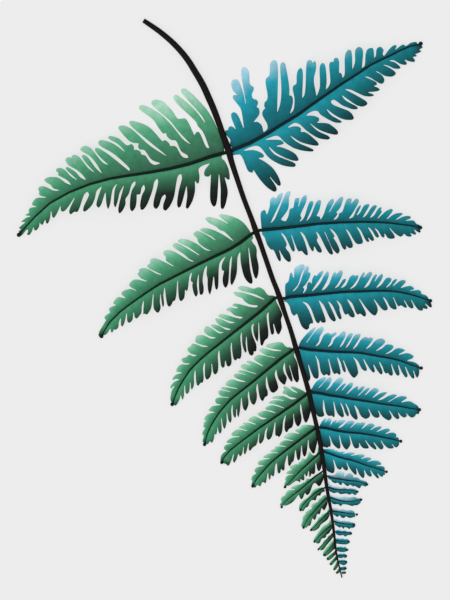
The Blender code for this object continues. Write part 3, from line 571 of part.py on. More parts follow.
        """325.5,495.2 323.5,495.3 321.8,496.4 320.7,497.9 319,498.4 318.2,500 317.5,501.4 316,502.3 313.5,503
        311.7,504 310.9,505.6 310.9,507.4 c311.4,508.6 309,509.5 307,510.8 305.5,512 304.8,513.3
        c305.6,513.8 304,515 302.8,516.8 302.2,518.5 302.4,520 301.6,522 301.2,524 301.2,526.5""",
        """327,500.5 327.3,502.5 327,505 326.3,507.7 325.2,509.6 324,510.6 322.8,509.7 c321.6,508.2 321.1,511
        320.3,513.3 319.4,514.4 318.3,514.2 c317.2,514.1 316.7,516.3 315.9,518.7 314.8,520 313.5,519.6
        c312.4,518.3 311.8,520.3 311.5,523 310.7,525 309.7,526 308.3,525.9 307.3,526.7 306.3,528""",
    ),
    "pinna_right_10": (
        0.85,
        """328.5,496.7 330,497.2 332,498 335,499 338,500 342,501 346,501.6 350,501.6 354,501 358,500.2 362,499.5""",
        """330,494.6 332,494.9 334.5,495.2 337,495.7 339.5,496.8 342,496.8 344.5,496.3 347,496.4 349.5,497.1
        352,496.8 354,496.6 356,497.6 358.5,498.2 360.5,497.6""",
        """331,500.5 331.7,502.2 332.8,503.8 334.5,504.5 336.5,504.5 c338,504.4 339,505.5 340.3,506.3 341.5,505.9
        c342.3,504.7 344.5,504.6 347,504.8 349,505.4 351,506 353,506.1 c354.5,505.5 356.5,505.6 358,505
        359.5,503.8 361,502.4""",
    ),
    "pinna_left_11": (
        0.8,
        """331.3,509.5 329,511.8 325.3,515.7 321,519.9 317,523.9 313.5,527.5 310.5,530.6""",
        """328.3,509 327.2,510.9 326,512.3 324,513.2 322,514.2 321,515.4 320,516.7 318.4,517.4 317.8,518.9
        317,520.4 316,521.7 314.8,523.1 313.3,524.7 312,526.6 310,529.5""",
        """329.3,514 329,516.5 328.6,518.1 327.3,520 325.3,521.8 323,523.3 321.2,524.7 319.9,526.7 318.7,528.5
        317.3,529.4 315.5,529.9 313.2,531.3""",
    ),
    "pinna_right_11": (
        0.8,
        """331.3,510.7 333,511 336,511.5 340,512 344,512.7 348,513.2 352,513.7 357.6,514.6""",
        """332.5,508.6 334,508.2 336,507.5 337.3,508 c338.2,509 341.5,508.7 343.7,508.8 345,509.6 347,510
        350,509.8 352.3,510.2 353.5,511.3 355,512.5""",
        """333.5,513.7 334.2,515 335.7,515.7 336.5,516.8 337.5,517.2 c339.3,515.7 340.4,516.5 341.4,517.7
        343,518.2 344.6,518 c345.6,516.8 346.5,517 348,517.8 349.7,518.2 351.5,517.6 353.3,517.5 355.5,516.6""",
    ),
    "pinna_left_12": (
        0.75,
        """333.5,524 331,525.5 328,528 324,531.4 320,535 316.5,539.3 313.9,542.2""",
        """329.8,519.8 328.9,521.7 327.5,523.3 325,524.5 323,525.5 321.5,527.4 320,529.7 318,532.1 316.5,534.3
        315,536.6 313.8,538.7 313.3,540.8""",
        """331.8,528 331,530 330.2,531.8 329.3,533.3 328,533.9 c326.6,535 326.2,536.7 325.2,538 323.5,538.4
        c322,538.8 321.2,540.7 320.2,542.6 319,543.6 317,543.7""",
    ),
    "pinna_right_12": (
        0.75,
        """333,520.8 334.8,521.7 337,522.5 340,523 344,523.7 348,524 352,524.5 354.6,525.2""",
        """334.5,519 336,518.8 338,519.4 341.8,520.7 343.6,520.3 346.8,521.2 349,521.2 c350.2,521.9 352,522
        353.9,522.6 355.4,524""",
        """335.2,524.6 338,526.3 339.9,527.8 c341,527 343.6,529.1 c344.9,527.4 347.4,528.1 349.6,529.4
        c350.5,528.1 353,528.1 355.2,526.6""",
    ),
    "pinna_left_13": (
        0.65,
        """334.3,532.3 332.6,533.9 330,536.4 326,540.6 323,544 320.3,547.2 318,549.9""",
        """331.9,532.6 330.6,534.2 328.9,535.1 327.6,536.1 327,537.9 325.5,539.2 323.9,540.4 322.9,542 322,543.7
        320.5,545.1 319.2,546.6 318,548.2""",
        """333,536.2 332.5,537.8 331.6,539.5 330.1,541.6 328.5,543.6 326.8,545.3 325.5,547.2 324.2,549.1
        322.7,550.2 321,550.6""",
    ),
    "pinna_right_13": (
        0.65,
        """334.5,531.9 336.5,532 339,532.2 343,532.3 347,532.6 351.5,533.2""",
        """335.8,530.4 337,529.8 339.3,529.4 c341.3,530.6 344.9,530.2 c346.8,531.2 350.5,531.5 352.2,532.6""",
        """336.3,533.9 339.3,535.6 c343,535.3 345.5,536.8 c347.1,535.6 349.9,535.2 351.8,534.6""",
    ),
    "pinna_left_14": (
        0.6,
        """335.2,541 333.8,543.2 332,545.9 330,548.5 328,550.9 324.1,555.6""",
        """333,540.4 331.1,542.2 328.6,545 326.1,547.8 324.4,550 323.2,553.1 322.7,555.2""",
        """334.6,545.9 334.4,548.4 333,549.8 330.5,551.7 328,554 326.1,555.8 324.9,556.6""",
    ),
    "pinna_right_14": (
        0.6,
        """335.2,540.5 336.5,540.7 339,541 343,541.3 347,541.5 349.4,541.8""",
        """336.3,538.8 338,537.8 c340,538.5 343,538.1 c344.9,539.1 347.1,538.8 348.6,540.2 350,541.2""",
        """336.5,543.1 339.3,544.1 343,544.5 346.8,544.4 348.9,543.3 350,542.4""",
    ),
    "pinna_left_15": (
        0.55,
        """336.3,549.8 335,551.3 333,553.4 330.5,556 327,559.2""",
        """334.9,551.4 333,552.5 330.5,554.1 328,556.2 326.4,558.3""",
        """335.5,554.2 333.6,555.8 331.8,558 329.6,560 327.6,560.4""",
    ),
    "pinna_right_15": (
        0.55,
        """336,548.2 337.5,548.4 340,548.8 344,549.2 347.6,549.7""",
        """337.2,547.2 339.3,546.6 341.8,546.3 c343.6,547.1 345.2,546.5 346.8,548.3 348.6,549.2""",
        """337.6,550.8 339.9,551.8 343,552.2 346.1,551.6 348.4,550.4""",
    ),
    "pinna_left_16": (
        0.55,
        """337.3,555.6 336,557.2 334.5,559.2 332,562 330.4,564.6""",
        """336,556.2 334.3,557.4 332.1,559.6 330.3,561.9 329.3,564.2""",
        """336.6,559.6 334.9,561.8 333,563.7 331.1,565.4""",
    ),
    "pinna_right_16": (
        0.55,
        """337.2,555.2 338.7,555.3 341,555.4 344,555.5 346.6,555.6""",
        """338.4,554.2 340.5,553.2 c342.4,553.8 344.3,553.3 345.8,554.5 347.2,555.1""",
        """338.5,557.1 341.1,558.3 c343.6,557.5 345.5,558.1 347.1,556.7""",
    ),
    "pinna_left_17": (
        0.5,
        """338.2,561.5 337,564 336,566 334.8,568.2 333.8,569.9""",
        """336.9,561.6 335.6,563.3 334.1,565.7 333.2,568.4""",
        """337.6,566.4 336.7,568.6 334.9,570.2""",
    ),
    "pinna_right_17": (
        0.5,
        """338,561.2 339.5,561.3 342,561.4 346.7,561.7""",
        """339.3,560.2 341.8,559.9 343.6,559.6 345.5,560.4 347.3,561.3""",
        """339.4,563 341.1,564.3 343.6,565.3 345.2,564.3 347,563.4""",
    ),
    "pinna_left_18": (
        0.45,
        """339.8,567.5 338.6,569.4 337.5,571.2 336.3,573.2""",
        """338.3,569.2 337.2,570.4 335.8,572.7""",
        """339.3,571.6 338.5,573.2 337,573.9""",
    ),
    "pinna_right_18": (
        0.45,
        """339.2,567.6 340.6,567.8 343,568.1 345.8,568.3""",
        """340.7,567.3 343,566.8 345.5,566.5 346.6,567.6""",
        """341,569.8 343.3,570.5 344.9,570.3 346.6,569""",
    ),
    "pinna_right_19": (
        0.4,
        """340.8,572.2 342,572.3 344,572.4 345.8,572.4""",
        """342,571.5 343.6,571.3 345.6,571.5""",
        """342.4,573.6 344,574 345.8,573.5""",
    ),
}


def read_points(text):
    """Pairs of coordinates with the letter, if any, that stands before each."""
    tokens = []
    for token in text.split():
        letter = token[0] if token[0] in "ct" else ""
        x, y = token[len(letter):].split(",")
        tokens.append((Vector((float(x), float(y))), letter))
    return tokens


def thin(points, keep, tolerance):
    """The points that the line needs to stay within tolerance, with every point in keep."""
    wanted = {0, len(points) - 1, *keep}
    spans = list(zip(sorted(wanted), sorted(wanted)[1:]))
    while spans:
        first, last = spans.pop()
        chord = points[last] - points[first]
        length = max(chord.length, 1e-6)
        away = [
            (abs(chord.cross(points[i] - points[first])) / length, i)
            for i in range(first + 1, last)
        ]
        if away and max(away)[0] > tolerance:
            middle = max(away)[1]
            wanted.add(middle)
            spans += [(first, middle), (middle, last)]
    return [points[i] for i in sorted(wanted)]


def divide(points):
    """The line with points close enough together to follow the arch of its blade."""
    length = sum((b - a).length for a, b in zip(points, points[1:]))
    longest = math.sqrt(ARCH_STRETCH * length)
    line = [points[0]]
    for a, b in zip(points, points[1:]):
        count = math.ceil((b - a).length / longest)
        line += [a.lerp(b, (step + 1) / count) for step in range(count)]
    return line


def outline(text, tolerance):
    """One side of a blade: the feet of its clefts, and no more of its other points than it needs."""
    tokens = read_points(text)
    points = [point for point, _ in tokens]
    keep = [index for index, (_, letter) in enumerate(tokens) if letter == "c"]
    return thin(points, keep, tolerance)


class Rachis:
    """The stem's middle line and its width along it."""

    def __init__(self, text):
        rows = [[float(value) for value in token.split(",")] for token in text.split()]
        self.points = [Vector(row[:2]) for row in rows]
        self.radii = [row[2] / 2 for row in rows]

    def push_out(self, point, turn):
        """The point itself, or the place beside the rachis that clears it, on the left where turn is 1."""
        best = None
        for a, b, ra, rb in zip(self.points, self.points[1:], self.radii, self.radii[1:]):
            along = max(0.0, min(1.0, (point - a).dot(b - a) / (b - a).length_squared))
            foot = a.lerp(b, along)
            room = (point - foot).length
            if best is None or room < best[0]:
                best = (room, foot, ra + (rb - ra) * along, b - a)
        room, foot, radius, direction = best
        clear = radius + RACHIS_CLEARANCE
        side = Vector((-direction.y, direction.x)).normalized() * turn
        if side.dot(point - foot) > 0 and room >= clear:
            return point
        if room >= 2 * clear:
            return point
        return foot + side * clear


class Arch:
    """The height of a blade's underside above the surface, from its midrib."""

    def __init__(self, midrib):
        self.midrib = midrib
        self.reach = [0.0]
        for a, b in zip(midrib, midrib[1:]):
            self.reach.append(self.reach[-1] + (b - a).length)
        self.length = self.reach[-1]

    def share_and_distance(self, point):
        best = None
        for a, b, start in zip(self.midrib, self.midrib[1:], self.reach):
            along = max(0.0, min(1.0, (point - a).dot(b - a) / (b - a).length_squared))
            distance = (point - a.lerp(b, along)).length
            if best is None or distance < best[0]:
                best = (distance, (start + along * (b - a).length) / self.length)
        return best[1], best[0]

    def height(self, point):
        share, distance = self.share_and_distance(point)
        ridge = ARCH_AT_RACHIS * (1 - share) + ARCH_SHARE * self.length * math.sin(math.pi * share)
        return max(0.0, ridge - DROOP_PER_MM * distance * distance)


def place(point, height):
    """A plan point and a height in millimetres as a place in the model, in metres."""
    return Vector((point.x, -point.y, height)) * MM


def new_object(name, mesh, collection):
    thing = bpy.data.objects.new(name, mesh)
    collection.objects.link(thing)
    return thing


def winding(point, loop):
    """How many times the loop goes round the point."""
    turns = 0
    for a, b in zip(loop, loop[1:] + loop[:1]):
        side = (b - a).cross(point - a)
        if a.y <= point.y < b.y and side > 0:
            turns += 1
        elif b.y <= point.y < a.y and side < 0:
            turns -= 1
    return turns


def largest_group(faces):
    """The largest set of faces that hang together by their edges."""
    by_edge = {}
    for index, face in enumerate(faces):
        for a, b in zip(face, face[1:] + face[:1]):
            by_edge.setdefault(frozenset((a, b)), []).append(index)
    groups = []
    left = set(range(len(faces)))
    while left:
        waiting = [left.pop()]
        group = set(waiting)
        while waiting:
            face = faces[waiting.pop()]
            for a, b in zip(face, face[1:] + face[:1]):
                for other in by_edge[frozenset((a, b))]:
                    if other in left:
                        left.remove(other)
                        group.add(other)
                        waiting.append(other)
        groups.append(group)
    return [faces[index] for index in max(groups, key=len)]


def fans(corner, indices, faces):
    """The faces round a corner, grouped by the edges that join them there."""
    groups = []
    for index in indices:
        spokes = set(faces[index]) - {corner}
        members = [index]
        apart = []
        for other_spokes, other_members in groups:
            if other_spokes & spokes:
                spokes = spokes | other_spokes
                members = members + other_members
            else:
                apart.append((other_spokes, other_members))
        groups = apart + [(spokes, members)]
    return [members for _, members in groups]


def open_pinches(points, faces):
    """Parts each corner that is all that joins two regions of a blade."""
    around = {}
    for index, face in enumerate(faces):
        for corner in face:
            around.setdefault(corner, []).append(index)
    for corner, indices in around.items():
        for group in fans(corner, indices, faces)[1:]:
            middle = Vector((0.0, 0.0))
            for index in group:
                for other in faces[index]:
                    middle += points[other] / (3 * len(group))
            points.append(points[corner] + (middle - points[corner]).normalized() * PINCH_GAP)
            for index in group:
                faces[index] = tuple(len(points) - 1 if i == corner else i for i in faces[index])


def fill(loop, ridge):
    """Triangles inside a loop that may cross itself, with the ridge among their edges."""
    count = len(loop)
    edges = [(i, (i + 1) % count) for i in range(count)]
    edges += [(count + i, count + i + 1) for i in range(len(ridge) - 1)]
    points, _, faces, *_ = delaunay_2d_cdt(loop + ridge, edges, [], 0, WELD)
    points = [Vector(point) for point in points]
    area = sum(a.cross(b) for a, b in zip(loop, loop[1:] + loop[:1]))
    turned = 1 if area > 0 else -1
    inside = []
    for face in faces:
        middle = (points[face[0]] + points[face[1]] + points[face[2]]) / 3
        if winding(middle, loop) * turned > 0:
            inside.append(tuple(face))
    inside = largest_group(inside)
    open_pinches(points, inside)
    return points, inside


def make_blade(name, ridge, upper, lower, arch, collection):
    """One thin arched blade, with the same triangles on both faces and a fold along its midrib."""
    points, faces = fill(upper + lower[::-1], ridge)
    used = sorted({corner for face in faces for corner in face})
    order = {corner: index for index, corner in enumerate(used)}
    under = [place(points[corner], arch.height(points[corner])) for corner in used]
    over = [where + Vector((0, 0, BLADE_THICKNESS * MM)) for where in under]
    count = len(used)
    flat = [tuple(order[corner] for corner in face) for face in faces]
    sides = {}
    for face in flat:
        for a, b in zip(face, face[1:] + face[:1]):
            sides[(a, b)] = (b, a)
    rim = [edge for edge, back in sides.items() if back not in sides]
    triangles = [face[::-1] for face in flat]
    triangles += [tuple(corner + count for corner in face) for face in flat]
    for a, b in rim:
        triangles += [(a, b, b + count), (a, b + count, a + count)]
    mesh = bpy.data.meshes.new(name)
    mesh.from_pydata(under + over, [], triangles)
    bm = bmesh.new()
    bm.from_mesh(mesh)
    bmesh.ops.recalc_face_normals(bm, faces=bm.faces[:])
    bm.to_mesh(mesh)
    bm.free()
    return new_object(name, mesh, collection)


def make_tube(name, places, radii, sides_step, collection):
    """A round tube with a radius at each place, as a closed mesh."""
    curve = bpy.data.curves.new(name, "CURVE")
    curve.dimensions = "3D"
    curve.bevel_depth = MM
    curve.bevel_resolution = sides_step
    curve.use_fill_caps = True
    curve.twist_mode = "Z_UP"
    spline = curve.splines.new("POLY")
    spline.points.add(len(places) - 1)
    for point, where, radius in zip(spline.points, places, radii):
        point.co = (*where, 1)
        point.radius = radius
    line = new_object(name + "_line", curve, collection)
    bpy.context.view_layer.update()
    solid = line.evaluated_get(bpy.context.evaluated_depsgraph_get())
    mesh = bpy.data.meshes.new_from_object(solid)
    bpy.data.objects.remove(line)
    bm = bmesh.new()
    bm.from_mesh(mesh)
    bmesh.ops.remove_doubles(bm, verts=bm.verts[:], dist=1e-6)
    bmesh.ops.recalc_face_normals(bm, faces=bm.faces[:])
    bm.to_mesh(mesh)
    bm.free()
    return new_object(name, mesh, collection)


def make_midrib(name, midrib, arch, base_radius, collection):
    """A midrib on top of its blade, with the knob at its tip."""
    tip_radius = base_radius * (1 - MIDRIB_TAPER)
    knob = base_radius * KNOB_SHARE
    stops = [(0.0, base_radius)]
    for reach in arch.reach[1:-1]:
        if reach < arch.length - 2.2 * knob:
            stops.append((reach, base_radius * (1 - MIDRIB_TAPER * reach / arch.length)))
    for back, radius in ((2.0, tip_radius), (1.3, 0.8 * knob), (0.5, knob), (-0.3, 0.85 * knob), (-0.9, 0.3 * knob)):
        stops.append((arch.length - back * knob, radius))
    places = []
    for reach, radius in stops:
        point = point_at(midrib, arch.reach, reach)
        height = arch.height(point) + BLADE_THICKNESS + SEAT_GAP + radius
        places.append(place(point, height))
    return make_tube(name, places, [radius for _, radius in stops], 1, collection)


def point_at(points, reaches, reach):
    """The place on a line at a distance along it, or past its end on its last stretch."""
    for a, b, start, end in zip(points, points[1:], reaches, reaches[1:]):
        if reach <= end:
            return a.lerp(b, (reach - start) / (end - start))
    return b + (b - a).normalized() * (reach - end)


def make_rachis(rachis, collection):
    """The rachis, with its underside pressed flat on the surface."""
    places = []
    for point, radius in zip(rachis.points, rachis.radii):
        places.append(place(point, max(RACHIS_PRESS * radius, RACHIS_LOWEST_CENTRE)))
    stem = make_tube("rachis", places, rachis.radii, 2, collection)
    for vertex in stem.data.vertices:
        vertex.co.z = max(0.0, vertex.co.z)
    return stem


def join_all(name, pieces, collection):
    """One closed solid out of pieces that run into each other."""
    parts = bpy.data.collections.new(name + "_pieces")
    bpy.context.scene.collection.children.link(parts)
    first, *others = pieces
    for piece in others:
        collection.objects.unlink(piece)
        parts.objects.link(piece)
    union = first.modifiers.new("union", "BOOLEAN")
    union.operation = "UNION"
    union.operand_type = "COLLECTION"
    union.collection = parts
    union.solver = "EXACT"
    bpy.context.view_layer.update()
    solid = first.evaluated_get(bpy.context.evaluated_depsgraph_get())
    mesh = bpy.data.meshes.new_from_object(solid)
    for piece in pieces:
        bpy.data.objects.remove(piece)
    bpy.data.collections.remove(parts)
    bm = bmesh.new()
    bm.from_mesh(mesh)
    bmesh.ops.triangulate(bm, faces=bm.faces[:])
    bmesh.ops.dissolve_degenerate(bm, dist=1e-6, edges=bm.edges[:])
    bm.to_mesh(mesh)
    bm.free()
    return new_object(name, mesh, collection)


def material(name, colour, roughness):
    finish = bpy.data.materials.new(name)
    finish.use_nodes = True
    shader = finish.node_tree.nodes["Principled BSDF"]
    shader.inputs["Base Color"].default_value = colour
    shader.inputs["Roughness"].default_value = roughness
    shader.inputs["Metallic"].default_value = 0.0
    return finish


def main():
    for thing in list(bpy.data.objects):
        bpy.data.objects.remove(thing)
    collection = bpy.data.collections.new("fern_frond")
    bpy.context.scene.collection.children.link(collection)
    green = material("green_blade", GREEN, 0.6)
    teal = material("teal_blade", TEAL, 0.6)
    dark = material("dark_stem", NEAR_BLACK, 0.45)

    rachis = Rachis(RACHIS)
    tubes = [make_rachis(rachis, collection)]
    solids = []
    for name, (base_radius, midrib_text, upper_text, lower_text) in PINNAE.items():
        whole_midrib = [point for point, _ in read_points(midrib_text)]
        midrib = divide(thin(whole_midrib, (), MIDRIB_TOLERANCE))
        arch = Arch(midrib)
        tolerance = min(OUTLINE_TOLERANCE, FINEST_TOLERANCE + TOLERANCE_SHARE * arch.length)
        turn = 1 if "left" in name else -1
        upper = [rachis.push_out(point, turn) for point in outline(upper_text, tolerance)]
        lower = [rachis.push_out(point, turn) for point in outline(lower_text, tolerance)]
        blade = make_blade(name, midrib, upper, lower, arch, collection)
        blade.data.materials.append(green if "left" in name else teal)
        solids.append(blade)
        tubes.append(make_midrib(name + "_midrib", midrib, arch, base_radius, collection))
    skeleton = join_all("rachis_and_midribs", tubes, collection)
    skeleton.data.materials.append(dark)
    solids.append(skeleton)

    # The origin lies on the surface, under the middle of the frond's box
    corners = [vertex.co for solid in solids for vertex in solid.data.vertices]
    middle_x = (min(c.x for c in corners) + max(c.x for c in corners)) / 2
    middle_y = (min(c.y for c in corners) + max(c.y for c in corners)) / 2
    for solid in solids:
        for vertex in solid.data.vertices:
            vertex.co.x -= middle_x
            vertex.co.y -= middle_y


main()
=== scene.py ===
"""The fern frond lying face up, seen from straight above, green on its left side and teal on its right.

Plan points are millimetres on the sheet that the frond is drawn on, x to the right and y downwards.
Everything else is in millimetres in the row frame until a mesh is made of it.
"""
import math

import bpy
import numpy as np
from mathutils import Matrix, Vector
from mathutils.geometry import delaunay_2d_cdt


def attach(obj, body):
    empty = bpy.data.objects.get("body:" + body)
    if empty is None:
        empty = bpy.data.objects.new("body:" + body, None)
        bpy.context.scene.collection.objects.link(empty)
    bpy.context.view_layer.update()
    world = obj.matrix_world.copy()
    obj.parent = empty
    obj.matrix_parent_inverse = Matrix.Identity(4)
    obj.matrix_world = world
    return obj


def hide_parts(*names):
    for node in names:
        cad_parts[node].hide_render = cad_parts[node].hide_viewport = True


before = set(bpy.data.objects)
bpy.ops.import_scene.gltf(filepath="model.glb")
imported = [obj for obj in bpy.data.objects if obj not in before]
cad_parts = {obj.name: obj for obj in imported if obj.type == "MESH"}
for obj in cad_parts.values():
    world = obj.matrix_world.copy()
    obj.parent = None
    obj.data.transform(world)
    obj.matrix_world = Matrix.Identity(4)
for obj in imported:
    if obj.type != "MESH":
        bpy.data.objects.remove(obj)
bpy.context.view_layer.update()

MM = 0.001
SHEET_MIDDLE = (224.818, 298.879)
FRAME_MIDDLE = (225.0, 300.0)
FRAME_HEIGHT = 600.0
CAMERA_DISTANCE = 6.0
SENSOR = 36.0

# The blades arch as the solids do
BLADE_TOP = 0.8
BLADE_THICKNESS = 0.65
ARCH_SHARE = 0.05
ARCH_AT_RACHIS = 0.6
DROOP_PER_MM = 0.0045
RACHIS_PRESS = 0.7
RACHIS_LOWEST_CENTRE = 1.6
MIDRIB_TAPER = 0.65
KNOB_SHARE = 0.85
KNOB_LEAST = 0.55
MIDRIB_SINK = 0.45

# A blade's rim: a bend past CLEFT_TURN degrees is the foot of a cleft and stays sharp
UP_FACING = 0.2
EDGE_STEP = 0.8
CLEFT_TURN = 70
RIM_INSET = 0.25
RIM_INSET_SHARE = 0.01
# Nearer the rachis than RACHIS_ROOM the rim moves out instead, until it meets the rachis
RACHIS_ROOM = 1.6
RACHIS_OVERLAP = 0.5

# The triangles of a blade, whose size follows the length of its midrib
COARSEST_SPACING = 1.5
FINEST_SPACING = 0.45
SPACINGS_ALONG = 60
ROW_SHARE = 0.866
WELD = 0.02

# A vein runs up the middle of each lobe, and the blade swells between veins
LOBE_WINDOW = 5
LEAST_LOBE = 1.5
VEIN_END = 0.93
VEIN_WIDTH = 0.45
VEIN_DEPTH = 0.16
VEIN_SLANT = 0.3
PUFF = 0.3
PUFF_WIDTH = 2.2
LEAST_UNDERSIDE = 0.02

# The stem's tubes: sides round them, and how deep the groove along their top is
RACHIS_STEP = 1.5
RACHIS_SIDES = 28
RACHIS_GROOVE = 0.14
MIDRIB_STEP = 2.5
MIDRIB_SIDES = 14
MIDRIB_GROOVE = 0.08
GROOVE_WIDTH = 0.4

FLOOR_REACH = 3000.0
FLOOR_DROP = 0.3

RACHIS = """
143.5,20.5,4.6 152,26.2,5.2 161,32.7,5.6 174,44,6.0 186.3,58,6.3 195.5,72.4,6.6 202.7,84.7,6.8 208.8,98,6.8
214,110,6.6 219,123.5,6.4 224,137.8,6.3 228.5,150,7.0 231,160,6.1 237.5,180,5.4 244.3,200,5.2 252,220,5.3
255.5,230,6.0 259.2,240,5.3 266.1,260,5.2 273,280,5.1 277,290,5.3 280.5,300,5.8 283.8,310,4.9 290.6,330,4.8
296.5,350,5.4 302.4,370,4.6 308.3,390,5.2 312.8,410,4.6 317.5,430,4.6 321.3,450,4.6 324.4,470,4.0
327.2,490,3.6 330.8,510,3.2 333.6,530,2.8 335.9,550,2.0 337.7,560,1.8 340,570,1.5 342.4,579,1.3
"""

